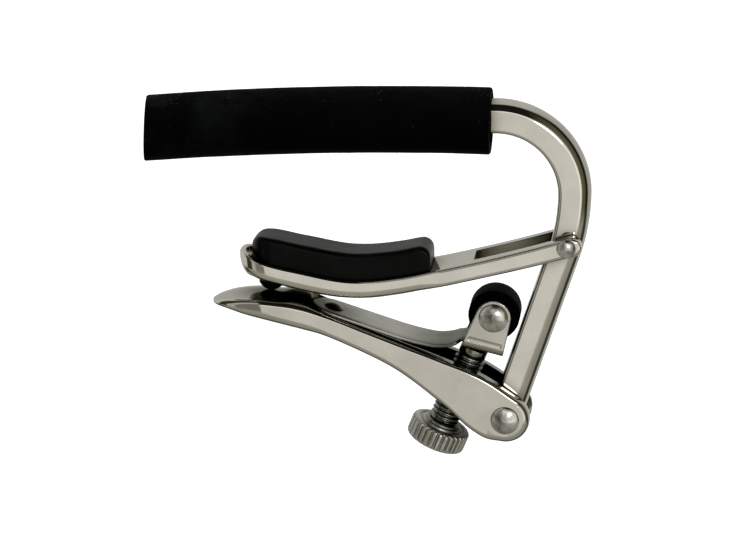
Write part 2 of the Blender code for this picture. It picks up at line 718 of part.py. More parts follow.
def make_tip_cap(finish):
    """Swivelling cap on the screw's tip, which bears on the bracket's base."""
    low, high = CAP_SPAN
    dome = dome_profile(CAP_RADIUS, CAP_DOME, high)
    profile = [(CAP_STEM[0], CAP_STEM[1]), (CAP_STEM[0], low), (CAP_RADIUS - 0.2, low),
               (CAP_RADIUS, low + 0.2)] + dome
    return turned("screw_tip_cap", profile, screw_point(0), screw_axis(), finish)


def make_knob(finish):
    """Fluted thumb knob with a hub, bored for the screw's stub."""
    bore = SCREW_STUB + RUNNING_GAP
    h = KNOB_HALF_HEIGHT
    hub_radius, hub_top = KNOB_HUB
    stations = [(bore, -h, 0), (KNOB_RADIUS - 0.55, -h, 0), (KNOB_RADIUS, -h + 0.4, 1),
                (KNOB_RADIUS, h - 0.4, 1), (KNOB_RADIUS - 0.55, h, 0), (hub_radius, h, 0),
                (hub_radius, hub_top - 0.15, 0), (hub_radius - 0.15, hub_top, 0), (bore, hub_top, 0)]
    ax, _, az = screw_axis()
    along = np.array((ax, 0.0, az))
    across = np.array((az, 0.0, -ax))
    count = 2 * KNOB_FLUTES
    rings = []
    for radius, t, fluted in stations:
        ring = []
        for k in range(count):
            angle = 2 * math.pi * k / count
            reach = radius - fluted * KNOB_FLUTE_DEPTH * (k % 2)
            spoke = math.cos(angle) * across + math.sin(angle) * np.array((0.0, 1.0, 0.0))
            ring.append(tuple(np.array(screw_point(t)) + spoke * reach))
        rings.append(ring)
    return loft("adjusting_knob", rings, finish, screw_point(0), closed=True)


def main():
    """Clear the scene and build every piece."""
    for old in list(bpy.data.objects):
        bpy.data.objects.remove(old)
    nickel = material("polished_nickel", (0.62, 0.60, 0.56), 0.14, 1.0)
    dull = material("spring_steel", (0.42, 0.42, 0.40), 0.35, 1.0)
    knob = material("plated_knob", (0.40, 0.40, 0.38), 0.34, 1.0)
    dark = material("blackened_steel", (0.05, 0.05, 0.05), 0.25, 1.0)
    rubber = material("black_rubber", (0.012, 0.012, 0.012), 0.62, 0.0)
    roller = material("black_nylon", (0.01, 0.01, 0.01), 0.3, 0.0)

    make_frame_bar(nickel)
    make_sleeve(rubber)
    make_jaw(nickel)
    make_saddle_pad(rubber)
    make_rest_button(rubber)
    make_lever(nickel)
    make_leaf_spring(dull)
    make_leaf_rivet(nickel)
    make_roller_bracket(nickel)
    make_roller(roller)
    make_adjusting_screw(knob)
    make_tip_cap(dark)
    make_knob(knob)
    through_rivet("jaw_pivot_rivet", JAW_PIVOT, JAW_RIVET, nickel)
    through_rivet("lever_pivot_rivet", LEVER_PIVOT, LEVER_RIVET, nickel)
    through_rivet("roller_axle_rivet", bracket_point(*BRACKET_AXLE), AXLE_RIVET, nickel)


main()
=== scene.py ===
import math

import bmesh
import bpy
import numpy as np
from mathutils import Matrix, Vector, noise


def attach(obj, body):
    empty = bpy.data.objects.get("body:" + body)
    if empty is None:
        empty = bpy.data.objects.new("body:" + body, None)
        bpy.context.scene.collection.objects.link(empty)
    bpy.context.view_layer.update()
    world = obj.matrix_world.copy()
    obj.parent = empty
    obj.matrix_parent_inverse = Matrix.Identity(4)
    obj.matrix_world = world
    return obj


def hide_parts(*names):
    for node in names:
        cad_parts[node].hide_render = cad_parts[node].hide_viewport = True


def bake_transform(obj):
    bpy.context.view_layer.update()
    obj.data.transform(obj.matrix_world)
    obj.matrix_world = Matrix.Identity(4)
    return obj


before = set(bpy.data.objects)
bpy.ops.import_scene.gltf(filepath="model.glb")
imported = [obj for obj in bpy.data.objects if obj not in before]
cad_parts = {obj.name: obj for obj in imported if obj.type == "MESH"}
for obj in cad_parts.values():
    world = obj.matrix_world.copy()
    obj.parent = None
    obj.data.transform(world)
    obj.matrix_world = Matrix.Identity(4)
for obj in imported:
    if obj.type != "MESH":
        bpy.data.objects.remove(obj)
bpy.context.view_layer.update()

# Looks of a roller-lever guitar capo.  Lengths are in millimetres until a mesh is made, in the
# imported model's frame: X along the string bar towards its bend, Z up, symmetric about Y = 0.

MM = 0.001

LEVER_PIVOT = (23.55, 7.25)
JAW_PIVOT = (32.9, 36.75)

BAR_HALF_WIDTH = 2.5
BAR_HALF_DEPTH = 2.65
BAR_INNER_ROUND = 0.65
BAR_LEAN = math.radians(17.8)
BAR_STRAIGHT = 28.84
BAR_ELBOW_RADIUS = 33.0
BAR_HOOK_RADIUS = 12.5
BAR_ARCH_RADIUS = 534.0
BAR_END_X = -33.5

SLEEVE_ENDS_X = (-35.85, 20.35)
SLEEVE_APEX = (19.55, 56.22)
SLEEVE_ARCH_RADIUS = 535.0
SLEEVE_OUTER = 5.4
SLEEVE_BORE = 4.0
SLEEVE_EDGE = 0.35
SLEEVE_CUT_SLANT = (-0.14, 0.045)

ARM_HALF_WIDTH = 4.75
FORK_HALF_GAP = 2.7
JAW_NOSE_X = -20.5
JAW_TOP = [
    (-20.5, 33.98), (-19.0, 33.48), (-17.3, 32.78), (-15.5, 32.23), (-10.0, 31.08), (-1.9, 29.88),
    (6.3, 30.83), (12.75, 32.43), (19.1, 34.08), (26.1, 36.08), (33.7, 38.48),
]
JAW_BOTTOM = [
    (-20.5, 31.68), (-19.5, 30.28), (-17.6, 29.62), (-12.9, 28.44), (-10.0, 27.82), (-3.9, 26.93),
    (1.2, 26.98), (5.6, 27.68), (12.75, 29.38), (19.2, 31.08), (26.1, 32.93), (33.7, 35.18),
]
JAW_EAR_X = 33.7
JAW_ROUND = 0.8
JAW_ROUND_MORE = 0.9
JAW_ROUND_X = 14.1
JAW_ROUND_FADE = 7.0
JAW_FORK_X = 18.0
TRAY_HALF_WIDTH = 3.8
TRAY_DEPTH = 0.6
TRAY_ENDS_X = (-19.5, 11.2)

PAD_GAP = 0.15
PAD_NOSE_X = -18.5
PAD_TOP_ROUND = 0.9
PAD_END_ROUND = 2.0
PAD_TOP = [
    (-19.5, 36.18), (-16.3, 36.38), (-10.0, 35.38), (-1.9, 34.23), (6.1, 35.08), (9.1, 35.78),
    (11.3, 36.08),
]
BUTTON_X = -15.3
BUTTON_RADIUS = 2.1

LEVER_TIP_X = -25.1
LEVER_TOP = [
    (-25.1, 24.88), (-22.9, 25.38), (-19.4, 25.78), (-15.4, 25.73), (-10.0, 24.98), (-4.9, 23.63),
    (0.1, 21.78), (6.37, 19.48), (12.9, 17.13), (20.3, 14.13), (25.75, 10.58),
]
LEVER_BOTTOM = [
    (-25.1, 24.38), (-22.9, 24.18), (-19.0, 23.23), (-10.0, 21.18), (-6.5, 20.38), (-1.1, 18.28),
    (6.4, 14.48), (11.6, 10.63), (14.2, 8.53), (17.4, 5.58), (20.1, 3.83), (23.55, 3.25),
]
LEVER_END_RADIUS = 4.0
LEVER_NOSE_LENGTH = 8.9
LEVER_CROWN = 1.0
LEVER_WEB_END_X = 19.1
LEVER_CROWN_END = -3.8
LEVER_CROWN_FADE = 6.0
LEVER_SWELL = 0.65
LEVER_SWELL_X = -14.5
LEVER_SWELL_RISE = 3.0
LEVER_EDGE = 0.7
LEVER_RIM = 1.15
LEVER_WEB = 2.9
LEVER_CHANNEL_X = (-0.5, 22.1)

LEAF_THICKNESS = 0.55
LEAF_HALF_WIDTH = 3.7
LEAF_TONGUE_HALF_WIDTH = 2.8
LEAF_ROOT = (-8.5, 24.93)
LEAF_RIVET_X = -5.25
LEAF_PATH = [(5.8, 20.5), (9.3, 19.63), (12.3, 19.22), (14.7, 19.55)]

BRACKET_CORNER = (16.15, 19.42)
BRACKET_TILT = math.radians(-13.1)
BRACKET_BASE = 7.0
BRACKET_AXLE = (3.96, 6.05)
BRACKET_HEAD_RADIUS = 2.85
BRACKET_HALF_WIDTH = 3.9
BRACKET_PLATE = 0.8
BRACKET_FLOOR = 0.6
LEAF_NARROW_X = 15.2
LEAF_NARROW_LENGTH = 1.1
LEAF_SEAT_END_X = 5.1
GROOVE_SPAN = (1.0, 6.2)
GROOVE_HEIGHT = 1.6
GROOVE_RADIUS = 1.0
GROOVE_OFFSET = 0.87

ROLLER_RADIUS = 4.2
ROLLER_HALF_WIDTH = 2.7

KNOB_CENTRE = (12.25, 3.154)
SCREW_LEAN = math.radians(21.6)
KNOB_RADIUS = 4.95
KNOB_HALF_HEIGHT = 1.65
KNOB_FLUTES = 30
SCREW_RADIUS = 2.5
SCREW_TOP = 14.6
THREAD_PITCH = 0.8
CAP_RADIUS = 2.3
CAP_SPAN = (14.7, 16.33)
CAP_DOME = 0.45

FLOOR_DROP = 48.0

# Rivets: shank radius, head radius, head height, underside of the head from Y = 0
JAW_RIVET = (0.9, 1.5, 0.55, 4.8)
LEVER_RIVET = (1.4, 2.3, 0.7, 4.8)
AXLE_RIVET = (1.2, 2.35, 0.8, 3.95)
LEAF_RIVET = (1.0, 1.6, 0.55, 2.6)


# ---------------------------------------------------------------- mesh tools

def smooth_curve(points):
    """A smooth z(x) through the given points: cubic pieces with matched slopes."""
    xs = np.array([p[0] for p in points])
    zs = np.array([p[1] for p in points])
    steps = np.diff(xs)
    rises = np.diff(zs) / steps
    slopes = np.empty(len(xs))
    slopes[0] = rises[0]
    slopes[-1] = rises[-1]
    weights = steps[1:] / (steps[:-1] + steps[1:])
    slopes[1:-1] = rises[:-1] * weights + rises[1:] * (1 - weights)

    def height(x):
        i = int(np.clip(np.searchsorted(xs, x) - 1, 0, len(steps) - 1))
        u = (x - xs[i]) / steps[i]
        start = (1 + 2 * u) * (1 - u) ** 2 * zs[i] + u * (1 - u) ** 2 * steps[i] * slopes[i]
        end = u * u * (3 - 2 * u) * zs[i + 1] + u * u * (u - 1) * steps[i] * slopes[i + 1]
        return float(start + end)

    return height


def evenly(first, last, steps):
    """Values from first to last in equal steps, both ends included."""
    return [first + (last - first) * i / steps for i in range(steps + 1)]


def smooth_step(value):
    """Ease from 0 to 1 as value goes from 0 to 1."""
    t = min(1.0, max(0.0, value))
    return t * t * (3 - 2 * t)


def new_mesh(name, points, faces):
    """One object from points in millimetres, welded, facing outwards."""
    mesh = bpy.data.meshes.new(name)
    mesh.from_pydata([tuple(np.array(p, dtype=float) * MM) for p in points], [], faces)
    work = bmesh.new()
    work.from_mesh(mesh)
    bmesh.ops.remove_doubles(work, verts=work.verts, dist=2e-7)
    bmesh.ops.dissolve_degenerate(work, edges=work.edges, dist=1e-7)
    bmesh.ops.recalc_face_normals(work, faces=work.faces)
    work.to_mesh(mesh)
    work.free()
    made = bpy.data.objects.new(name, mesh)
    bpy.context.scene.collection.objects.link(made)
    return made


def loft(name, rings, closed=False):
    """Skin a row of rings with the same number of points; cap both ends unless closed."""
    count = len(rings[0])
    points = [p for ring in rings for p in ring]
    faces = []
    last = len(rings) if closed else len(rings) - 1
    for i in range(last):
        j = (i + 1) % len(rings)
        for k in range(count):
            m = (k + 1) % count
            faces.append((i * count + k, i * count + m, j * count + m, j * count + k))
    if not closed:
        faces.append(tuple(reversed(range(count))))
        faces.append(tuple((len(rings) - 1) * count + k for k in range(count)))
    return new_mesh(name, points, faces)


def axes_round(axis):
    """Unit vectors along and across an axis, the first across one in the XZ plane if it can be."""
    along = np.array(axis, dtype=float)
    along /= np.linalg.norm(along)
    side = np.array((0.0, 1.0, 0.0)) if abs(along[1]) < 0.9 else np.array((1.0, 0.0, 0.0))
    across = np.cross(along, side)
    across /= np.linalg.norm(across)
    return along, across, np.cross(along, across)


def turned(name, profile, centre, axis, sides=96, closed=False):
    """Turn (radius, distance along the axis) points round an axis through centre."""
    along, across, other = axes_round(axis)
    middle = np.array(centre, dtype=float)
    rings = []
    for radius, t in profile:
        angles = [2 * math.pi * k / sides for k in range(sides)]
        rings.append([middle + along * t + radius * (math.cos(a) * across + math.sin(a) * other)
                      for a in angles])
    return loft(name, rings, closed)


def plate(name, outline, low_y, high_y):
    """An (x, z) outline extruded along Y."""
    return loft(name, [[(x, y, z) for x, z in outline] for y in (low_y, high_y)])


def combine(target, cutter, operation="DIFFERENCE"):
    """Apply one exact Boolean and remove the cutter."""
    step = target.modifiers.new("shape", "BOOLEAN")
    step.operation = operation
    step.solver = "EXACT"
    step.object = cutter
    settle(target)
    bpy.data.objects.remove(cutter)


def settle(made):
    """Replace an object's mesh by what its modifiers make of it."""
    graph = bpy.context.evaluated_depsgraph_get()
    mesh = bpy.data.meshes.new_from_object(made.evaluated_get(graph))
    made.modifiers.clear()
    made.data = mesh


def soften(made, width, angle=50, segments=2):
    """Round the sharp edges by a small bevel."""
    step = made.modifiers.new("soft", "BEVEL")
    step.width = width * MM
    step.segments = segments
    step.limit_method = "ANGLE"
    step.angle_limit = math.radians(angle)
    settle(made)


def dress(made, body, finish, nodes, sharp=38, even=False):
    """Shade, paint and place a finished piece, and hide the CAD nodes it stands for."""
    made.data.materials.clear()
    made.data.materials.append(finish)
    made.data.shade_smooth()
    made.data.set_sharp_from_angle(angle=math.radians(sharp))
    if even:
        step = made.modifiers.new("even", "WEIGHTED_NORMAL")
        step.keep_sharp = True
        settle(made)
    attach(made, body)
    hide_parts(*nodes)


def dome(radius, height, base, steps=12):
    """(radius, distance) points of a shallow dome from its rim to its top."""
    sphere = (radius * radius + height * height) / (2 * height)
    widest = math.asin(radius / sphere)
    points = []
    for i in range(steps + 1):
        angle = widest * (1 - i / (steps + 0.05))
        points.append((sphere * math.sin(angle), base + height - sphere * (1 - math.cos(angle))))
    return points


def corner(centre_y, centre_z, radius, start, turn, steps=7):
    """(y, z) points of a quarter-round corner, angles in degrees."""
    points = []
    for i in range(steps):
        angle = math.radians(start + turn * i / (steps - 1))
        points.append((centre_y + radius * math.cos(angle), centre_z + radius * math.sin(angle)))
    return points


# ---------------------------------------------------------------- frame bar and sleeve

def bar_section():
    """(n, y) points of the bar: flat flanks, round back, softened inner corners."""
    flank = math.sqrt(BAR_HALF_DEPTH ** 2 - BAR_HALF_WIDTH ** 2)
    limit = math.degrees(math.atan2(BAR_HALF_WIDTH, flank)) - 4
    points = []
    for i in range(33):
        angle = math.radians(-limit + 2 * limit * i / 32)
        points.append((BAR_HALF_DEPTH * math.cos(angle), BAR_HALF_DEPTH * math.sin(angle)))
    side = [(flank - 0.12, BAR_HALF_WIDTH - 0.02), (flank - 0.35, BAR_HALF_WIDTH), (-0.6, BAR_HALF_WIDTH)]
    for i in range(8):
        angle = math.radians(90 + 90 * i / 7)
        side.append((-BAR_HALF_DEPTH + BAR_INNER_ROUND + BAR_INNER_ROUND * math.cos(angle),
                     BAR_HALF_WIDTH - BAR_INNER_ROUND + BAR_INNER_ROUND * math.sin(angle)))
    return points + side + [(n, -y) for n, y in reversed(side)]


def bar_path():
    """Stations (x, z, heading, depth scale) up the bar and along under the sleeve to its end."""
    heading = math.pi / 2 - BAR_LEAN
    x, z = LEVER_PIVOT
    ahead = (math.cos(heading), math.sin(heading))
    stations = []
    for i in range(12):
        angle = math.radians(87 - 7.6 * i)
        back = BAR_HALF_DEPTH * math.sin(angle)
        stations.append((x - back * ahead[0], z - back * ahead[1], heading, math.cos(angle)))
    stations += [(x + reach * ahead[0], z + reach * ahead[1], heading, 1.0)
                 for reach in evenly(0.0, BAR_STRAIGHT, 12)]
    x += BAR_STRAIGHT * ahead[0]
    z += BAR_STRAIGHT * ahead[1]
    arch_turn = (x + BAR_HOOK_RADIUS - BAR_END_X) / BAR_ARCH_RADIUS
    for radius, turn, steps in (
        (BAR_ELBOW_RADIUS, BAR_LEAN, 14),
        (BAR_HOOK_RADIUS, math.pi / 2, 64),
        (BAR_ARCH_RADIUS, arch_turn, 24),
    ):
        for _ in range(steps):
            step = turn / steps
            chord = 2 * radius * math.sin(step / 2)
            x += chord * math.cos(heading + step / 2)
            z += chord * math.sin(heading + step / 2)
            heading += step
            stations.append((x, z, heading, 1.0))
    kept = [s for s in stations if s[0] > BAR_END_X]
    last, beyond = kept[-1], stations[len(kept)]
    share = (last[0] - BAR_END_X) / (last[0] - beyond[0])
    return kept + [tuple(a + share * (b - a) for a, b in zip(last, beyond))]


def make_frame_bar(finish):
    """The bent bar."""
    rings = []
    for x, z, heading, scale in bar_path():
        out = (math.sin(heading), -math.cos(heading))
        rings.append([(x + n * scale * out[0], y, z + n * scale * out[1]) for n, y in bar_section()])
    bar = loft("frame_bar_fine", rings)
    dress(bar, "frame", finish, ["frame_bar"], 30)


def sleeve_height(x):
    """Height of the sleeve's centre line."""
    return SLEEVE_APEX[1] - (x - SLEEVE_APEX[0]) ** 2 / (2 * SLEEVE_ARCH_RADIUS)


def make_sleeve(finish):
    """A rubber tube, gently arched, faintly uneven, with softened rims and a hand-cut end."""
    left, right = SLEEVE_ENDS_X
    shoulder = SLEEVE_OUTER - SLEEVE_EDGE
    walk = corner(left + SLEEVE_EDGE, shoulder, SLEEVE_EDGE, 180, -90)
    walk += [(x, SLEEVE_OUTER) for x in evenly(left + SLEEVE_EDGE, right - SLEEVE_EDGE, 150)[1:-1]]
    walk += corner(right - SLEEVE_EDGE, shoulder, SLEEVE_EDGE, 90, -90)
    walk += [(right, SLEEVE_BORE + 0.1), (right - 0.1, SLEEVE_BORE)]
    walk += [(x, SLEEVE_BORE) for x in evenly(right, left, 12)[1:-1]]
    walk += [(left + 0.1, SLEEVE_BORE), (left, SLEEVE_BORE + 0.1)]
    rings = []
    for x, radius in walk:
        askew = max(0.0, 1 - (x - left) / 10.0)
        ring = []
        for k in range(96):
            angle = 2 * math.pi * k / 96
            uneven = 0.0
            if radius > SLEEVE_BORE + 0.5:
                spot = Vector((x * 0.12, math.cos(angle) * 0.9, math.sin(angle) * 0.9))
                uneven = 0.045 * noise.noise(spot) + 0.012 * noise.noise(spot * 6.0)
            reach = radius + uneven - 0.03
            y, rise = reach * math.cos(angle), reach * math.sin(angle)
            slant = askew * (SLEEVE_CUT_SLANT[0] * y + SLEEVE_CUT_SLANT[1] * rise)
            ring.append((x + slant, y, sleeve_height(x) + rise))
        rings.append(ring)
    sleeve = loft("string_sleeve_fine", rings, closed=True)
    dress(sleeve, "frame", finish, ["string_sleeve"], 50)


# ---------------------------------------------------------------- jaw, pad and button

def nose_stations(tip_x, length, half_width, steps=22):
    """(x, half width) of a nose that is half an ellipse in plan."""
    stations = []
    for i in range(steps):
        angle = math.radians(87 * (1 - i / steps) ** 1.15)
        stations.append((tip_x + length * (1 - math.sin(angle)), half_width * math.cos(angle)))
    return stations


def rounded_section(half, top, bottom, top_round, bottom_round, crown=0.0, middle=9):
    """(y, z) ring of a bar section: rounded corners, flat or crowned top."""
    height = top - bottom
    top_round = min(top_round, 0.45 * height, 0.9 * half)
    bottom_round = min(bottom_round, 0.5 * height, 0.9 * half)
    right = [(0.0, bottom), (0.5 * (half - bottom_round), bottom)]
    right += corner(half - bottom_round, bottom + bottom_round, bottom_round, -90, 90, 9)
    right += corner(half - top_round, top - top_round, top_round, 0, 90, 7)
    flat = half - top_round
    right += [(flat * (1 - i / middle), top) for i in range(1, middle)]
    lifted = []
    for y, z in right:
        share = smooth_step((z - (top - top_round)) / top_round) if top_round > 0 else 1.0
        lifted.append((y, z + crown * max(0.0, 1 - (y / half) ** 2) * share))
    centre = [(0.0, top + crown)]
    return lifted + centre + [(-y, z) for y, z in reversed(lifted[1:])]


def tray_half_width(x):
    """Half width of the pad's tray: round towards the nose."""
    into = x - TRAY_ENDS_X[0]
    if into <= 0:
        return 0.0
    if into < TRAY_HALF_WIDTH:
        return TRAY_HALF_WIDTH * math.sqrt(1 - (1 - into / TRAY_HALF_WIDTH) ** 2)
    return TRAY_HALF_WIDTH


def jaw_ring(x, half, top, bottom, under, tray, depth):
    """(x, y, z) ring of the jaw, with the pad's tray sunk into its top."""
    edge = 0.6 - 0.2 * smooth_step((TRAY_ENDS_X[1] + 2.0 - x) / 2.0)
    height = top - bottom
    under = min(under, 0.5 * height, 0.9 * half)
    edge = min(edge, 0.45 * height, 0.45 * half)
    lip = min(0.1, 0.2 * (half - edge))
    right = [(0.0, bottom), (0.5 * (half - under), bottom)]
    right += corner(half - under, bottom + under, under, -90, 90, 11)
    right += corner(half - edge, top - edge, edge, 0, 90, 8)
    inner = min(tray, half - edge - 0.05) if depth > 0 else 0.75 * (half - edge)
    sunk = min(lip, depth)
    right += [(0.5 * (half - edge + inner + lip), top)]
    right += [(inner + lip, top), (inner + 0.3 * lip, top - 0.3 * sunk), (inner, top - sunk)]
    right += [(inner, top - depth), (0.66 * inner, top - depth), (0.33 * inner, top - depth)]
    ring = right + [(0.0, top - depth)] + [(-y, z) for y, z in reversed(right[1:])]
    return [(x, y, z) for y, z in ring]


def make_jaw(finish):
    """The jaw: a spoon-nosed bar with a tray for the pad and a fork for the frame."""
    top = smooth_curve(JAW_TOP)
    bottom = smooth_curve(JAW_BOTTOM)
    stations = nose_stations(JAW_NOSE_X, ARM_HALF_WIDTH, ARM_HALF_WIDTH)
    stations += [(x, ARM_HALF_WIDTH) for x in evenly(JAW_NOSE_X + ARM_HALF_WIDTH, JAW_EAR_X, 110)]
    first, last = TRAY_ENDS_X
    tray_walls = [first + d for d in (0.0, 0.002, 0.05, 0.15, 0.3, 0.55, 0.85)] + [last - 0.002, last]

    def plan_half(x):
        into = min(1.0, (x - JAW_NOSE_X) / ARM_HALF_WIDTH)
        return ARM_HALF_WIDTH * math.sqrt(max(0.0, 1 - (1 - into) ** 2))

    stations += [(x, plan_half(x)) for x in tray_walls]
    rings = []
    for x, half in sorted(stations):
        under = JAW_ROUND + JAW_ROUND_MORE * smooth_step((JAW_ROUND_X - x) / JAW_ROUND_FADE)
        depth = TRAY_DEPTH if first < x < last else 0.0
        near = max(0.0, 1 - (x - JAW_NOSE_X) / 0.9)
        pinch = 0.6 * (1 - math.sqrt(1 - near * near))
        high, low = top(x) - pinch, bottom(x) + 1.3 * pinch
        rings.append(jaw_ring(x, half, high, low, under, tray_half_width(x), depth))
    high, low = top(JAW_EAR_X), bottom(JAW_EAR_X)
    centre_z, radius = (high + low) / 2, (high - low) / 2
    for i in range(1, 15):
        angle = math.radians(88 * i / 14)
        reach = radius * math.cos(angle)
        inset = 0.5 * (1 - math.sqrt(max(0.0, 1 - math.sin(angle) ** 8)))
        rings.append(jaw_ring(JAW_EAR_X + radius * math.sin(angle), ARM_HALF_WIDTH - inset,
                              centre_z + reach, centre_z - reach, JAW_ROUND, 0.0, 0.0))
    jaw = loft("jaw_fine", rings)
    fork = [(JAW_FORK_X, 25), (40, 25), (40, 45), (JAW_FORK_X, 45)]
    combine(jaw, plate("fork", fork, -FORK_HALF_GAP, FORK_HALF_GAP))
    soften(jaw, 0.1, 55)
    dress(jaw, "jaw_arm", finish, ["jaw"], 42, True)


def make_saddle_pad(finish):
    """The hollowed rubber pad with a soft upper edge and faint moulding unevenness."""
    floor = smooth_curve(JAW_TOP)
    top = smooth_curve(PAD_TOP)
    ends = (PAD_NOSE_X, TRAY_ENDS_X[1] - PAD_GAP)
    half_width = TRAY_HALF_WIDTH - PAD_GAP
    stations = nose_stations(ends[0], half_width, half_width, 26)
    start = ends[0] + half_width
    stop = ends[1] - PAD_END_ROUND
    stations += [(x, half_width) for x in evenly(start, stop, 90)[:-1]]
    stations += [(stop + PAD_END_ROUND * math.sin(math.radians(a)), half_width) for a in range(0, 90, 5)]
    stations.append((ends[1], half_width))
    rings = []
    for x, half in stations:
        nearest = min(x - ends[0], ends[1] - x)
        drop = 0.0
        if nearest < PAD_END_ROUND:
            drop = PAD_END_ROUND - math.sqrt(max(0.0, PAD_END_ROUND ** 2 - (PAD_END_ROUND - nearest) ** 2))
        crest, base = top(x) - drop, floor(x) - TRAY_DEPTH + 0.1
        ring = rounded_section(half, crest, base, PAD_TOP_ROUND, 0.05, 0.0, 10)
        uneven = []
        for y, z in ring:
            above = smooth_step((z - floor(x) - 0.3) / 1.0)
            wave = noise.noise(Vector((x * 0.35, y * 0.5, z * 0.4)))
            crease = smooth_step((-15.5 - x) / 3.0) * noise.noise(Vector((x * 0.9, y * 1.6, z * 0.5 + 7)))
            shift = above * (0.05 * wave + 0.07 * crease)
            uneven.append((x, y * (1 + shift / 4.0), z + 0.6 * shift * (1 if z > crest - 1.2 else 0)))
        rings.append(uneven)
    pad = loft("saddle_pad_fine", rings)
    dress(pad, "jaw_arm", finish, ["saddle_pad"], 60)


def make_rest_button(finish):
    """Rubber button whose stem is pushed into the jaw's underside."""
    seat = smooth_curve(JAW_BOTTOM)(BUTTON_X)
    lever_top = smooth_curve(LEVER_TOP)(BUTTON_X) + LEVER_CROWN
    head = seat - 0.45
    height = head - lever_top - 0.05
    below = [(r, -t) for r, t in dome(BUTTON_RADIUS - 0.08, height - 0.5, 0.5, 14)]
    profile = list(reversed(below)) + [(BUTTON_RADIUS, -0.38), (BUTTON_RADIUS, -0.1),
                                       (BUTTON_RADIUS - 0.12, 0.0), (1.25, 0.0), (1.05, 0.2), (1.0, 1.7)]
    button = turned("rest_button_fine", profile, (BUTTON_X, 0, head), (0, 0, 1), 72)
    dress(button, "jaw_arm", finish, ["rest_button"], 45)


# ---------------------------------------------------------------- lever

def screw_axis():
    """Unit vector up the height screw."""
    return math.sin(SCREW_LEAN), 0.0, math.cos(SCREW_LEAN)


def leaf_line(x):
    """Height of the straight root of the leaf spring's underside."""
    slope = (LEAF_PATH[0][1] - LEAF_ROOT[1]) / (LEAF_PATH[0][0] - LEAF_ROOT[0])
    return LEAF_ROOT[1] + slope * (x - LEAF_ROOT[0]) - LEAF_THICKNESS / 2 / math.cos(math.atan(slope))


def leaf_normal():
    """Unit normal (x, z) of the leaf spring's straight root."""
    dx = LEAF_PATH[0][0] - LEAF_ROOT[0]
    dz = LEAF_PATH[0][1] - LEAF_ROOT[1]
    length = math.hypot(dx, dz)
    return -dz / length, dx / length


def leaf_seat():
    """Cutter of the shallow seat that the leaf spring's root lies in."""
    half_width = LEAF_HALF_WIDTH + 0.25
    left = LEAF_ROOT[0] - 0.35
    stations = nose_stations(left, half_width, half_width, 24)
    stations += [(x, half_width) for x in evenly(left + half_width, LEAF_SEAT_END_X, 10)]
    rings = []
    for x, half in stations:
        floor = leaf_line(x) - 0.12
        rings.append([(x, half, floor), (x, half, 32), (x, -half, 32), (x, -half, floor)])
    return loft("seat", rings)


def make_lever(finish):
    """The lever: a spoon-nosed bar with a channel for the frame and the screw."""
    top = smooth_curve(LEVER_TOP)
    bottom = smooth_curve(LEVER_BOTTOM)
    nose = nose_stations(LEVER_TIP_X, LEVER_NOSE_LENGTH, ARM_HALF_WIDTH, 44)
    start = LEVER_TIP_X + LEVER_NOSE_LENGTH
    turn, shoulder, heel = LEVER_BOTTOM[-3][0], LEVER_TOP[-1][0], LEVER_BOTTOM[-1][0]
    walk = [(x, x, half) for x, half in nose]
    walk += [(x, x, ARM_HALF_WIDTH) for x in evenly(start, turn, 100)]
    slanted = zip(evenly(turn, shoulder, 30)[1:], evenly(turn, heel, 30)[1:])
    walk += [(high_x, low_x, ARM_HALF_WIDTH) for high_x, low_x in slanted]
    rings = []
    for high_x, low_x, half in walk:
        fade = smooth_step((LEVER_CROWN_END - high_x) / LEVER_CROWN_FADE)
        swell = LEVER_CROWN + LEVER_SWELL * smooth_step((high_x - LEVER_SWELL_X) / LEVER_SWELL_RISE)
        crown = swell * fade * half / ARM_HALF_WIDTH
        high, low = top(high_x), bottom(low_x)
        section = rounded_section(half, high, low, LEVER_EDGE, 1.1 + 0.4 * fade, crown)
        rings.append([(low_x + (high_x - low_x) * (z - low) / (high - low), y, z) for y, z in section])
    lever = loft("lever_fine", rings)
    bend = corner(ARM_HALF_WIDTH - LEVER_RIM, LEVER_END_RADIUS - LEVER_RIM, LEVER_RIM, 0, 90, 11)
    rim = [(r, t) for t, r in bend]
    disc = [(0.4, -ARM_HALF_WIDTH)] + [(r, -t) for r, t in rim] + [(r, t) for r, t in reversed(rim)]
    disc += [(0.4, ARM_HALF_WIDTH)]
    end = turned("end", disc, (LEVER_PIVOT[0], 0, LEVER_PIVOT[1]), (0, 1, 0), 120)
    combine(lever, end, "UNION")
    first_x, last_x = LEVER_CHANNEL_X
    floor = [(first_x, 30.0), (first_x, bottom(first_x) + LEVER_WEB + 0.4)]
    floor += [(x, bottom(x) + LEVER_WEB) for x in evenly(first_x + 0.4, LEVER_WEB_END_X, 30)]
    floor += [(20.5, 5.03), (last_x, 4.53), (last_x, -5.0), (35.0, -5.0), (35.0, 30.0)]
    combine(lever, plate("channel", floor, -FORK_HALF_GAP, FORK_HALF_GAP))
    combine(lever, leaf_seat())
    hole = [(SCREW_RADIUS + 0.05, 2.0), (SCREW_RADIUS + 0.05, 17.0)]
    combine(lever, turned("hole", hole, (KNOB_CENTRE[0], 0, KNOB_CENTRE[1]), screw_axis(), 64))
    soften(lever, 0.12, 55)
    dress(lever, "lever_arm", finish, ["lever"], 42, True)


# ---------------------------------------------------------------- leaf spring, bracket and roller

def bracket_point(s, h):
    """(x, z) of a point given in the bracket's own frame."""
    c, d = math.cos(BRACKET_TILT), math.sin(BRACKET_TILT)
    return BRACKET_CORNER[0] + s * c - h * d, BRACKET_CORNER[1] + s * d + h * c


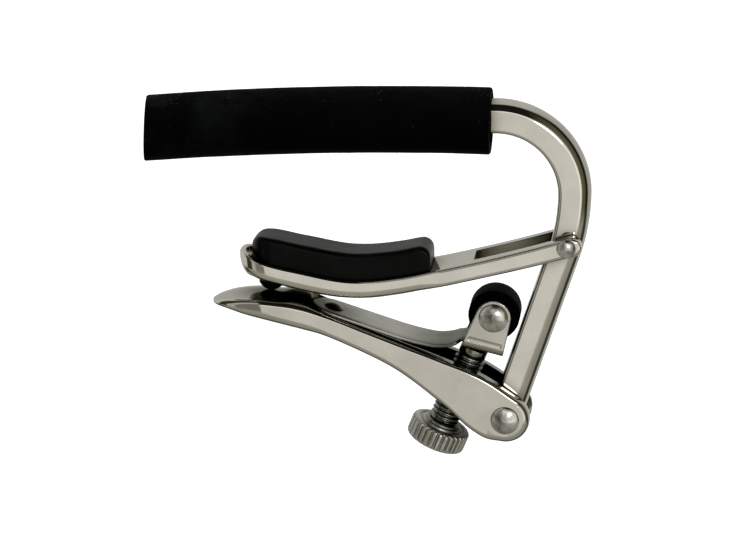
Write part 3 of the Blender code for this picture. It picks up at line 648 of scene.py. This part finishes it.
def leaf_half_width(x):
    """Half width of the leaf: round root, full strip, narrow tongue in the bracket."""
    from_root = x - LEAF_ROOT[0]
    if from_root < LEAF_HALF_WIDTH:
        return LEAF_HALF_WIDTH * math.sqrt(max(1e-4, 1 - (1 - from_root / LEAF_HALF_WIDTH) ** 2))
    narrow = smooth_step((x - LEAF_NARROW_X) / LEAF_NARROW_LENGTH)
    return LEAF_HALF_WIDTH + (LEAF_TONGUE_HALF_WIDTH - LEAF_HALF_WIDTH) * narrow


def make_leaf_spring(finish):
    """The flat spring: straight root, dip, tongue in the bracket."""
    slope = (LEAF_PATH[0][1] - LEAF_ROOT[1]) / (LEAF_PATH[0][0] - LEAF_ROOT[0])
    reaches = [0.002 + 3.6 * (i / 14) ** 2 for i in range(14)] + evenly(3.6, 13.8, 30)
    line = [(LEAF_ROOT[0] + d, LEAF_ROOT[1] + slope * d) for d in reaches]
    seat = BRACKET_FLOOR + 0.1 + LEAF_THICKNESS / 2
    bend = [*LEAF_PATH, bracket_point(0.35, seat), bracket_point(1.6, seat)]
    curve = smooth_curve(bend)
    line += [(x, curve(x)) for x in evenly(bend[0][0], bend[-1][0], 60)]
    line += [bracket_point(s, seat) for s in evenly(1.6, 5.4, 6)[1:]]
    rings = []
    reach = LEAF_THICKNESS / 2
    for i, (x, z) in enumerate(line):
        back = line[max(i - 1, 0)]
        ahead = line[min(i + 1, len(line) - 1)]
        length = math.hypot(ahead[0] - back[0], ahead[1] - back[1])
        nx, nz = -(ahead[1] - back[1]) / length, (ahead[0] - back[0]) / length
        half = leaf_half_width(x)
        soft = min(0.12, 0.4 * half)
        right = [(half - soft, -reach), (half - 0.3 * soft, -reach + 0.3 * soft), (half, -reach + soft),
                 (half, reach - soft), (half - 0.3 * soft, reach - 0.3 * soft), (half - soft, reach)]
        right += [(0.6 * (half - soft), reach), (0.3 * (half - soft), reach)]
        ring = right + [(-y, r) for y, r in reversed(right)]
        rings.append([(x + nx * r, y, z + nz * r) for y, r in ring])
    leaf = loft("leaf_spring_fine", rings)
    leaf.data.materials.append(finish)
    leaf.data.shade_smooth()
    leaf.data.set_sharp_from_angle(angle=math.radians(50))
    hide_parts("leaf_spring")
    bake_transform(leaf)


def bracket_outline(steps=48):
    """(x, z) outline of the bracket's side plate: straight base, tapered, round head."""
    cs, ch = BRACKET_AXLE
    r = BRACKET_HEAD_RADIUS
    corners = ((0.0, 0.0), (BRACKET_BASE, 0.0))
    limits = []
    for (s, h), side in zip(corners, (-1, 1)):
        bearing = math.atan2(h - ch, s - cs)
        open_angle = math.acos(r / math.hypot(h - ch, s - cs))
        limits.append(bearing + side * open_angle)
    left, right = limits[0] + 2 * math.pi, limits[1]
    outline = [bracket_point(*corners[0]), bracket_point(*corners[1])]
    for i in range(steps + 1):
        angle = right + (left - right) * i / steps
        outline.append(bracket_point(cs + r * math.cos(angle), ch + r * math.sin(angle)))
    return outline


def make_roller_bracket(finish):
    """U-shaped bracket folded from strip: round bends, softened rims, a pressed groove."""
    bracket = plate("roller_bracket_fine", bracket_outline(), -BRACKET_HALF_WIDTH, BRACKET_HALF_WIDTH)
    w, t, floor = BRACKET_HALF_WIDTH, BRACKET_PLATE, BRACKET_FLOOR
    outer = corner(w - 0.6, 0.6, 0.6, -90, 90, 10)
    inner = corner(w - t - 0.25, floor + 0.25, 0.25, 0, -90, 6)
    right = outer + [(w, 11.0), (w - t, 11.0)] + inner
    left = [(-y, h) for y, h in reversed(right)]
    fold = right + left
    rings = []
    for s in (-2.0, 9.0):
        rings.append([(bracket_point(s, h)[0], y, bracket_point(s, h)[1]) for y, h in fold])
    combine(bracket, loft("fold", rings), "INTERSECT")
    for side in (-1, 1):
        y = side * (BRACKET_HALF_WIDTH + GROOVE_OFFSET)
        start, end = (bracket_point(s, GROOVE_HEIGHT) for s in GROOVE_SPAN)
        axis = (end[0] - start[0], 0, end[1] - start[1])
        length = math.hypot(axis[0], axis[2])
        tip = [(r, length + t) for r, t in dome(GROOVE_RADIUS, 0.8, 0.0, 16)]
        profile = [(r, length - t) for r, t in reversed(tip)] + tip
        combine(bracket, turned("groove", profile, (start[0], y, start[1]), axis, 64))
    soften(bracket, 0.18, 35, 3)
    dress(bracket, "carrier", finish, ["roller_bracket"], 42, True)


def make_roller(finish):
    """Roller with turned faces and rounded rims."""
    w, r, c = ROLLER_HALF_WIDTH, ROLLER_RADIUS, 0.45
    face = [(1.3, w - 0.05), (1.9, w - 0.05), (2.0, w), (3.1, w), (3.16, w - 0.03), (3.22, w)]
    half = face + [(q, t) for t, q in corner(w - c, r - c, c, 0, 90)]
    profile = [(q, -t) for q, t in half] + [(q, t) for q, t in reversed(half)]
    x, z = bracket_point(*BRACKET_AXLE)
    roller = turned("roller_fine", profile, (x, 0, z), (0, 1, 0), 128, closed=True)
    dress(roller, "wheel", finish, ["roller"], 40)


# ---------------------------------------------------------------- rivets

def through_rivet(name, centre, spec, body, node, finish):
    """A rivet along Y with a domed head at each end."""
    shank, head, height, base = spec
    upper = [(head - 0.02, base), (head, base + 0.05)] + dome(head - 0.02, height - 0.07, base + 0.07, 16)
    lower = [(r, -t) for r, t in reversed(upper)]
    profile = lower + [(shank, -base), (shank, base)] + upper
    rivet = turned(name, profile, (centre[0], 0, centre[1]), (0, 1, 0), 96)
    dress(rivet, body, finish, [node], 50)


def make_leaf_rivet(finish):
    """Rivet that holds the leaf spring's root to the lever."""
    shank, head, height, depth = LEAF_RIVET
    nx, nz = leaf_normal()
    base = LEAF_THICKNESS + 0.1
    profile = [(shank, -depth + 0.5), (shank, base), (head - 0.03, base), (head, base + 0.05)]
    profile += dome(head - 0.03, height - 0.08, base + 0.08, 14)
    centre = (LEAF_RIVET_X, 0, leaf_line(LEAF_RIVET_X))
    rivet = turned("leaf_spring_rivet_fine", profile, centre, (nx, 0, nz), 80)
    dress(rivet, "lever_arm", finish, ["leaf_spring_rivet"], 50)


# ---------------------------------------------------------------- height screw

def screw_ring(t, sides, reach):
    """Ring of points at distance t along the screw; reach(angle) gives the radius."""
    along, across, other = axes_round(screw_axis())
    middle = np.array((KNOB_CENTRE[0], 0.0, KNOB_CENTRE[1])) + along * t
    angles = [2 * math.pi * k / sides for k in range(sides)]
    return [middle + reach(a) * (math.cos(a) * across + math.sin(a) * other) for a in angles]


def make_screw(finish):
    """Threaded height screw with a plain stub in the knob."""
    depth = 0.42
    low, high = 2.4, SCREW_TOP

    def thread(t):
        runout = smooth_step((t - low) / 0.5) * smooth_step((high - t) / 0.5)

        def reach(angle):
            phase = (t / THREAD_PITCH - angle / (2 * math.pi)) % 1.0
            groove = smooth_step(1.25 * (1 - abs(2 * phase - 1)) - 0.12)
            return SCREW_RADIUS - depth * groove * runout - 0.3 * (1 - runout)

        return reach

    rings = [screw_ring(-1.5, 96, lambda a: 1.9), screw_ring(2.35, 96, lambda a: 1.9)]
    rings += [screw_ring(t, 96, thread(t)) for t in evenly(low, high, int((high - low) / 0.06))]
    rings.append(screw_ring(high, 96, lambda a: 0.96))
    rings.append(screw_ring(12.4, 96, lambda a: 0.96))
    screw = loft("adjusting_screw_fine", rings)
    dress(screw, "screw", finish, ["adjusting_screw"], 50)


def make_tip_cap(finish):
    """Swivelling cap on the screw's tip."""
    low, high = CAP_SPAN
    profile = [(0.9, 12.5), (0.9, low), (CAP_RADIUS - 0.18, low), (CAP_RADIUS, low + 0.18)]
    profile += [(CAP_RADIUS, high - 0.25)] + dome(CAP_RADIUS - 0.04, CAP_DOME + 0.15, high - 0.15, 16)
    cap = turned("screw_tip_cap_fine", profile, (KNOB_CENTRE[0], 0, KNOB_CENTRE[1]), screw_axis(), 80)
    dress(cap, "screw_tip", finish, ["screw_tip_cap"], 45)


def make_knob(finish):
    """Fluted thumb knob with a ringed hub."""
    h = KNOB_HALF_HEIGHT
    outer = KNOB_RADIUS
    profile = [(1.95, -h, 0), (3.9, -h, 0), (4.0, -h + 0.06, 0), (4.1, -h, 0), (outer - 0.55, -h, 0)]
    for i in range(1, 7):
        angle = math.radians(90 * i / 6)
        profile.append((outer - 0.55 + 0.55 * math.sin(angle), -h + 0.5 * (1 - math.cos(angle)), i / 6))
    profile += [(outer, -h + 0.5 + (2 * h - 1.0) * i / 6, 1) for i in range(1, 6)]
    for i in range(7):
        angle = math.radians(90 * i / 6)
        profile.append((outer - 0.55 + 0.55 * math.cos(angle), h - 0.5 + 0.5 * math.sin(angle), 1 - i / 6))
    profile += [(3.95, h, 0), (3.85, h - 0.12, 0), (3.5, h - 0.12, 0), (3.42, h - 0.02, 0),
                (3.4, h + 0.2, 0), (3.3, h + 0.3, 0), (3.05, h + 0.3, 0), (2.95, h + 0.36, 0),
                (2.93, h + 0.6, 0), (2.83, h + 0.7, 0), (1.95, h + 0.7, 0)]
    sides = KNOB_FLUTES * 12
    rings = []
    for radius, t, fluted in profile:

        def reach(angle, radius=radius, fluted=fluted):
            phase = (angle * KNOB_FLUTES / (2 * math.pi)) % 1.0
            groove = smooth_step(1.9 * (1 - abs(2 * phase - 1)) - 0.75)
            return radius - 0.36 * fluted * groove

        rings.append(screw_ring(t, sides, reach))
    knob = loft("adjusting_knob_fine", rings, closed=True)
    dress(knob, "screw", finish, ["adjusting_knob"], 40)


# ---------------------------------------------------------------- materials

HAIRLINE_ROUGHNESS = 0.10
BRUSHED_DEPTH = 0.0016


def add_node(tree, kind, values, operation=None):
    """New node; its inputs take plain values or are linked to the outputs of other nodes."""
    node = tree.nodes.new(kind)
    if operation:
        node.operation = operation
    for key, value in values.items():
        if isinstance(value, bpy.types.NodeSocket):
            tree.links.new(value, node.inputs[key])
        else:
            node.inputs[key].default_value = value
    return node


def ramp_node(tree, value, stops):
    """Colour ramp from (position, colour) stops in a node tree."""
    node = tree.nodes.new("ShaderNodeValToRGB")
    while len(node.color_ramp.elements) < len(stops):
        node.color_ramp.elements.new(0.5)
    for element, (position, colour) in zip(node.color_ramp.elements, stops):
        element.position = position
        element.color = (*colour, 1.0)
    tree.links.new(value, node.inputs["Fac"])
    return node.outputs["Color"]


def mix_colours(tree, factor, first, second):
    """Mix two colours by a factor; each is a colour or the output of another node."""
    node = tree.nodes.new("ShaderNodeMix")
    node.data_type = "RGBA"
    tree.links.new(factor, node.inputs["Factor"])
    for socket, value in ((node.inputs[6], first), (node.inputs[7], second)):
        if isinstance(value, tuple):
            socket.default_value = (*value, 1.0)
        else:
            tree.links.new(value, socket)
    return node.outputs[2]


class Nodes:
    """A small helper round one material's node tree."""

    def __init__(self, name):
        self.material = bpy.data.materials.new(name)
        self.material.use_nodes = True
        self.tree = self.material.node_tree
        self.shader = self.tree.nodes["Principled BSDF"]
        self.place = self.tree.nodes.new("ShaderNodeTexCoord").outputs["Object"]

    def add(self, kind, values, operation=None):
        return add_node(self.tree, kind, values, operation)

    def stretched(self, scale):
        """Object coordinates scaled by a vector."""
        return self.add("ShaderNodeMapping", {"Vector": self.place, "Scale": scale}).outputs["Vector"]

    def noise(self, scale, detail=3.0, rough=0.55, vector=None):
        values = {"Vector": vector or self.place, "Scale": scale, "Detail": detail, "Roughness": rough}
        return self.add("ShaderNodeTexNoise", values).outputs["Fac"]

    def ramp(self, value, stops):
        """Colour ramp from (position, colour) stops."""
        return ramp_node(self.tree, value, stops)

    def span(self, value, low, high, to_low, to_high):
        """Map a range of a value to another range, clamped."""
        values = {"Value": value, "From Min": low, "From Max": high, "To Min": to_low, "To Max": to_high}
        return self.add("ShaderNodeMapRange", values).outputs["Result"]

    def maths(self, operation, a, b):
        return self.add("ShaderNodeMath", {0: a, 1: b}, operation).outputs["Value"]

    def blend(self, factor, a, b):
        """Mix two colours by a factor."""
        return mix_colours(self.tree, factor, a, b)

    def painted_shade(self, colour, dark, reach, low, high):
        """Painted shade: darken a colour where other surfaces stand close in front of it."""
        node = self.add("ShaderNodeAmbientOcclusion", {"Distance": reach * MM})
        node.samples = 8
        openness = self.span(node.outputs["AO"], low, high, 0.0, 1.0)
        return self.blend(openness, dark, colour)

    def along(self, place, direction):
        """Signed distance in metres from a point (mm) along a direction in the XZ plane."""
        values = {0: self.place, 1: (direction[0], 0.0, direction[1])}
        node = self.add("ShaderNodeVectorMath", values, "DOT_PRODUCT")
        offset = (place[0] * direction[0] + place[1] * direction[1]) * MM
        return self.maths("SUBTRACT", node.outputs["Value"], offset)

    def bump(self, height, depth, before=None):
        """Bump by a height of the given depth in millimetres."""
        values = {"Height": height, "Strength": 1.0, "Distance": depth * MM}
        if before:
            values["Normal"] = before
        return self.add("ShaderNodeBump", values).outputs["Normal"]

    def finish(self, colour, roughness, normal, metallic, specular=0.5):
        for name, value in (("Base Color", colour), ("Roughness", roughness), ("Normal", normal)):
            if value is not None:
                self.tree.links.new(value, self.shader.inputs[name])
        self.shader.inputs["Metallic"].default_value = metallic
        self.shader.inputs["Specular IOR Level"].default_value = specular
        return self.material


def plated_metal(name, dark, light, rough, wave=0.0016, grain=0.0005, ripple_scale=260.0,
                 clouds_scale=170.0, darker_band=None):
    """Polished plate: faint clouds, hairline scratches, a slight ripple, painted shade where other
    surfaces stand close, and maybe one end darkened as painted shade.
    """
    n = Nodes(name)
    tone = n.ramp(n.noise(clouds_scale, 4.0, 0.6), [(0.3, dark), (0.7, light)])
    # Painted shade: below the band's low edge along the direction the tone turns to shade; the bracket's
    # bottom fold gets it.
    if darker_band:
        place, direction, low, high, shade = darker_band
        tone = n.blend(n.span(n.along(place, direction), low * MM, high * MM, 0.0, 1.0), shade, tone)
    # Painted shade: olive-dark in hollows and between parts.
    colour = n.painted_shade(tone, (0.056, 0.058, 0.015), 7.0, 0.32, 0.88)
    lines = n.noise(1.0, 2.0, 0.5, n.stretched((900.0, 2500.0, 9000.0)))
    more = n.noise(1.0, 2.0, 0.5, n.stretched((7000.0, 2500.0, 1100.0)))
    hair = n.maths("MAXIMUM", n.span(lines, 0.66, 0.8, 0.0, 1.0), n.span(more, 0.68, 0.8, 0.0, 1.0))
    haze = n.span(n.noise(420.0, 3.0), 0.3, 0.75, rough, rough * 1.9)
    roughness = n.maths("ADD", haze, n.maths("MULTIPLY", hair, HAIRLINE_ROUGHNESS))
    ripple = n.bump(n.noise(ripple_scale, 2.0, 0.4), wave)
    fine = n.bump(n.noise(5200.0, 2.0, 0.5), grain, ripple)
    return n.finish(colour, roughness, fine, 1.0)


def brushed_metal(name, dark, light, rough, along, darker_band=None):
    """Dull drawn steel with fine lines along one direction and darker blotches, painted shade where other
    surfaces stand close, and maybe darker towards one end.
    """
    n = Nodes(name)
    clouds = n.noise(300.0, 5.0, 0.65)
    lines = n.noise(1.0, 3.0, 0.6, n.stretched(along))
    tone = n.maths("ADD", n.maths("MULTIPLY", clouds, 0.6), n.maths("MULTIPLY", lines, 0.4))
    body = n.ramp(tone, [(0.32, dark), (0.66, light)])
    # Darker beyond the band's high edge along the direction, with a blotchy border.
    if darker_band:
        place, direction, low, high, shade = darker_band
        spread = n.maths("ADD", n.along(place, direction), n.maths("MULTIPLY", clouds, 0.006))
        body = n.blend(n.span(spread, low * MM, high * MM, 0.0, 1.0), body, shade)
    # Painted shade: near black in hollows and between parts.
    colour = n.painted_shade(body, (0.02, 0.02, 0.012), 5.0, 0.25, 0.85)
    roughness = n.span(lines, 0.3, 0.7, rough, rough * 1.5)
    normal = n.bump(lines, BRUSHED_DEPTH, n.bump(n.noise(500.0, 3.0), 0.003))
    return n.finish(colour, roughness, normal, 1.0)


def black_rubber(name, dark, light, rough, dust, specular, grain=0.004, haze_scale=90.0, lighter_left=False):
    """Black rubber: fine pebbled skin, dusty haze and scattered pale specks."""
    n = Nodes(name)
    haze = n.span(n.noise(haze_scale, 5.0, 0.65), 0.45, 0.75, 0.0, 1.0)
    # Lighter towards the sleeve's left end.
    if lighter_left:
        split = n.add("ShaderNodeSeparateXYZ", {"Vector": n.place})
        haze = n.maths("MULTIPLY", haze, n.span(split.outputs["X"], -0.034, -0.012, 1.0, 0.12))
    base = n.blend(haze, dark, light)
    cells = n.add("ShaderNodeTexVoronoi", {"Vector": n.place, "Scale": 1500.0})
    speck = n.span(cells.outputs["Distance"], 0.05, 0.14, 1.0, 0.0)
    patch = n.span(n.noise(140.0, 4.0, 0.7), 0.5, 0.68, 0.0, 1.0)
    colour = n.blend(n.maths("MULTIPLY", speck, patch), base, dust)
    roughness = n.span(n.noise(700.0, 3.0), 0.3, 0.7, rough, min(1.0, rough * 1.25))
    normal = n.bump(n.noise(3200.0, 4.0, 0.6), grain, n.bump(n.noise(600.0, 2.0), 0.012))
    return n.finish(colour, roughness, normal, 0.0, specular)


def black_nylon(name):
    """Smooth black nylon with fine turning rings."""
    n = Nodes(name)
    x, z = bracket_point(*BRACKET_AXLE)
    centred = {"Vector": n.place, "Location": (-x * MM, 0, -z * MM), "Scale": (1.0, 0.0, 1.0)}
    shift = n.add("ShaderNodeMapping", centred).outputs["Vector"]
    rings = n.add("ShaderNodeTexWave", {"Vector": shift, "Scale": 1100.0, "Distortion": 1.5})
    rings.wave_type = "RINGS"
    rings.rings_direction = "SPHERICAL"
    stops = [(0.35, (0.0008, 0.0008, 0.0008)), (0.75, (0.0025, 0.0025, 0.0025))]
    colour = n.ramp(n.noise(400.0, 4.0, 0.6), stops)
    roughness = n.span(n.noise(900.0, 3.0), 0.3, 0.7, 0.42, 0.55)
    return n.finish(colour, roughness, n.bump(rings.outputs["Fac"], 0.0008), 0.0, 0.007)


# ---------------------------------------------------------------- studio

def make_world():
    """White backdrop, and a separate room that only metal mirrors.

    The room changes with the direction: above, beside (+X), left (-X) and under the part."""
    world = bpy.data.worlds.new("studio")
    bpy.context.scene.world = world
    world.use_nodes = True
    tree = world.node_tree
    tree.nodes.clear()
    direction = tree.nodes.new("ShaderNodeTexCoord").outputs["Generated"]

    def dot(vector, scale, shift):
        node = add_node(tree, "ShaderNodeVectorMath", {0: direction, 1: vector}, "DOT_PRODUCT")
        values = {0: node.outputs["Value"], 1: scale, 2: shift}
        out = add_node(tree, "ShaderNodeMath", values, "MULTIPLY_ADD")
        out.use_clamp = True
        return out.outputs["Value"]

    front = dot((-0.03, -0.995, -0.1), 0.5, 0.5)
    bright, edge = (0.50, 0.49, 0.46), (0.72, 0.71, 0.68)
    above = ramp_node(tree, front, [
        (0.00, (0.36, 0.36, 0.34)), (0.44, (0.34, 0.34, 0.32)), (0.47, (0.10, 0.10, 0.075)),
        (0.49, (0.006, 0.006, 0.004)), (0.88, (0.008, 0.008, 0.005)), (0.892, (0.15, 0.145, 0.12)),
        (0.91, edge), (0.94, edge), (0.97, bright),
    ])
    beside = ramp_node(tree, front, [
        (0.00, (0.31, 0.31, 0.29)), (0.37, (0.27, 0.27, 0.25)), (0.41, (0.01, 0.01, 0.006)),
        (0.55, (0.01, 0.01, 0.006)), (0.59, (0.06, 0.059, 0.032)), (0.80, (0.10, 0.098, 0.058)),
        (0.84, edge), (0.93, edge), (0.97, bright),
    ])
    under = ramp_node(tree, front, [
        (0.28, (0.33, 0.33, 0.31)), (0.34, (0.03, 0.03, 0.02)), (0.53, (0.03, 0.03, 0.02)),
        (0.57, (0.20, 0.20, 0.175)), (0.80, (0.23, 0.228, 0.20)), (0.965, (0.27, 0.266, 0.235)),
        (0.985, bright),
    ])
    left = ramp_node(tree, front, [
        (0.00, (0.31, 0.31, 0.29)), (0.40, (0.42, 0.42, 0.40)), (0.52, (0.40, 0.40, 0.37)),
        (0.55, (0.03, 0.03, 0.02)), (0.73, (0.03, 0.03, 0.02)), (0.76, (0.34, 0.335, 0.31)),
        (0.84, (0.34, 0.335, 0.31)), (0.87, (0.15, 0.148, 0.125)), (1.00, (0.15, 0.148, 0.125)),
    ])

    around = mix_colours(tree, dot((1.0, 0.0, 0.0), 2.5, -0.75), above, beside)
    around = mix_colours(tree, dot((-1.0, 0.0, 0.0), 25.0, -4.2), around, left)
    around = mix_colours(tree, dot((0.0, 0.0, -1.0), 12.0, -3.9), around, under)

    def background(colour, strength):
        node = add_node(tree, "ShaderNodeBackground", {"Color": colour, "Strength": strength})
        return node.outputs["Background"]

    def choose(factor, first, second):
        return add_node(tree, "ShaderNodeMixShader", {0: factor, 1: first, 2: second}).outputs["Shader"]

    room = background(around, 1.7)
    backdrop = background((1.0, 1.0, 0.995, 1.0), 1.0)
    seen = tree.nodes.new("ShaderNodeLightPath")
    fill = background((1.0, 1.0, 1.0, 1.0), 0.10)
    lit = choose(seen.outputs["Is Diffuse Ray"], room, fill)
    shown = choose(seen.outputs["Is Camera Ray"], lit, backdrop)
    add_node(tree, "ShaderNodeOutputWorld", {"Surface": shown})


def make_floor():
    """Plain pale floor, just below the lever's tip when it hangs fully open; metal doesn't mirror it."""
    mesh = bpy.data.meshes.new("floor")
    size, z = 6.0, -FLOOR_DROP * MM
    corners = [(-size, -size, z), (size, -size, z), (size, size, z), (-size, size, z)]
    mesh.from_pydata(corners, [], [(0, 1, 2, 3)])
    floor = bpy.data.objects.new("floor", mesh)
    bpy.context.scene.collection.objects.link(floor)
    n = Nodes("floor_paper")
    colour = n.ramp(n.noise(9.0, 3.0), [(0.3, (0.93, 0.93, 0.925)), (0.7, (0.95, 0.95, 0.945))])
    mesh.materials.append(n.finish(colour, None, None, 0.0, 0.0))
    n.shader.inputs["Roughness"].default_value = 1.0
    n.shader.inputs["Emission Color"].default_value = (1.0, 1.0, 1.0, 1.0)
    n.shader.inputs["Emission Strength"].default_value = 0.5
    floor.visible_glossy = False
    floor.visible_diffuse = False


def area_light(name, place, target, size, power, tint):
    """A soft round lamp aimed at a point."""
    data = bpy.data.lights.new(name, "AREA")
    data.shape = "DISK"
    data.size = size
    data.energy = power
    data.color = tint
    lamp = bpy.data.objects.new(name, data)
    lamp.location = place
    lamp.rotation_euler = (Vector(target) - Vector(place)).to_track_quat("-Z", "Y").to_euler()
    bpy.context.scene.collection.objects.link(lamp)


def overhead_light():
    """A broad soft light from above, unseen by metal."""
    data = bpy.data.lights.new("overhead", "SUN")
    data.energy = 2.3
    data.angle = math.radians(90)
    lamp = bpy.data.objects.new("overhead", data)
    lamp.location = (0.0, 0.0, 1.0)
    lamp.rotation_euler = (math.radians(-6), 0.0, 0.0)
    lamp.visible_glossy = False
    bpy.context.scene.collection.objects.link(lamp)


def make_camera():
    """The camera: a long lens, a little to the right of square on and above."""
    data = bpy.data.cameras.new("camera")
    data.lens = 135.2
    data.sensor_width = 36.0
    data.clip_start = 0.01
    data.clip_end = 30.0
    camera = bpy.data.objects.new("camera", data)
    target = Vector((0.00045, 0.0, 0.03045))
    azimuth, elevation, distance = math.radians(7.0), math.radians(17.0), 0.45
    away = Vector((math.sin(azimuth) * math.cos(elevation), -math.cos(azimuth) * math.cos(elevation),
                   math.sin(elevation)))
    camera.location = target + away * distance
    camera.rotation_euler = (-away).to_track_quat("-Z", "Y").to_euler()
    bpy.context.scene.collection.objects.link(camera)
    bpy.context.scene.camera = camera


def make_pieces():
    """Build every visible piece with its finish."""
    nickel_dark, nickel_light = (0.585, 0.560, 0.515), (0.665, 0.640, 0.595)
    bar = plated_metal("bar_nickel", nickel_dark, nickel_light, 0.055)
    arm = plated_metal("jaw_nickel", nickel_dark, nickel_light, 0.05)
    lever = plated_metal("lever_nickel", (0.505, 0.485, 0.445), (0.60, 0.578, 0.535), 0.05)
    upright = (-math.sin(BRACKET_TILT), math.cos(BRACKET_TILT))
    # Painted shade: the bracket's bottom fold is darkened by a band.
    bracket = plated_metal("bracket_nickel", (0.42, 0.41, 0.375), (0.53, 0.515, 0.475), 0.09,
                           darker_band=(BRACKET_CORNER, upright, 0.93, 1.10, (0.19, 0.185, 0.145)))
    rivet = plated_metal("rivet_nickel", (0.13, 0.13, 0.11), (0.80, 0.79, 0.75), 0.15, 0.08, 0.002,
                         ripple_scale=560.0, clouds_scale=450.0)
    # A darker copy of the rivet finish for the leaf rivet: painted dark reflection of the jaw's underside
    # round the leaf's root.
    shaded_rivet = plated_metal("rivet_painted_shade", (0.34, 0.34, 0.31), (0.52, 0.52, 0.48), 0.13, 0.03, 0.002)
    # The spring is darker towards the bracket end.
    spring = brushed_metal("spring_steel", (0.36, 0.352, 0.325), (0.56, 0.548, 0.51), 0.27,
                           (260.0, 6000.0, 900.0),
                           darker_band=((7.0, 0.0), (1.0, 0.0), 2.0, 8.5, (0.13, 0.135, 0.115)))
    knob = brushed_metal("knob_steel", (0.40, 0.40, 0.365), (0.60, 0.60, 0.56), 0.25,
                         (2500.0, 2500.0, 700.0))
    screw = brushed_metal("screw_steel", (0.30, 0.31, 0.30), (0.48, 0.49, 0.47), 0.18,
                          (1500.0, 1500.0, 1500.0))
    cap = plated_metal("cap_steel", (0.26, 0.26, 0.24), (0.40, 0.40, 0.37), 0.10, 0.002, 0.0008)
    sleeve = black_rubber("sleeve_rubber", (0.0018, 0.0019, 0.0019), (0.017, 0.019, 0.0205), 0.6,
                          (0.15, 0.15, 0.15), 0.012, lighter_left=True)
    pad = black_rubber("pad_rubber", (0.0008, 0.0010, 0.0009), (0.0035, 0.0042, 0.0038), 0.25,
                       (0.05, 0.052, 0.05), 0.085, 0.0012, 150.0)
    button = black_rubber("button_rubber", (0.004, 0.004, 0.004), (0.008, 0.008, 0.008), 0.35,
                          (0.03, 0.03, 0.03), 0.05, 0.002, 150.0)
    make_frame_bar(bar)
    make_sleeve(sleeve)
    make_jaw(arm)
    make_saddle_pad(pad)
    make_rest_button(button)
    make_lever(lever)
    make_leaf_spring(spring)
    make_leaf_rivet(shaded_rivet)
    make_roller_bracket(bracket)
    make_roller(black_nylon("roller_nylon"))
    make_screw(screw)
    make_tip_cap(cap)
    make_knob(knob)
    through_rivet("jaw_pivot_rivet_fine", JAW_PIVOT, JAW_RIVET, "frame", "jaw_pivot_rivet", rivet)
    through_rivet("lever_pivot_rivet_fine", LEVER_PIVOT, LEVER_RIVET, "frame", "lever_pivot_rivet", rivet)
    through_rivet("roller_axle_rivet_fine", bracket_point(*BRACKET_AXLE), AXLE_RIVET, "carrier",
                  "roller_axle_rivet", rivet)


make_world()
make_floor()
make_camera()
area_light("key", (0.23, -0.75, 0.18), (0, 0, 0.03), 0.18, 0.7, (1.0, 0.99, 0.97))
overhead_light()
make_pieces()
bpy.context.scene.view_settings.view_transform = "Standard"
bpy.context.scene.view_settings.look = "None"
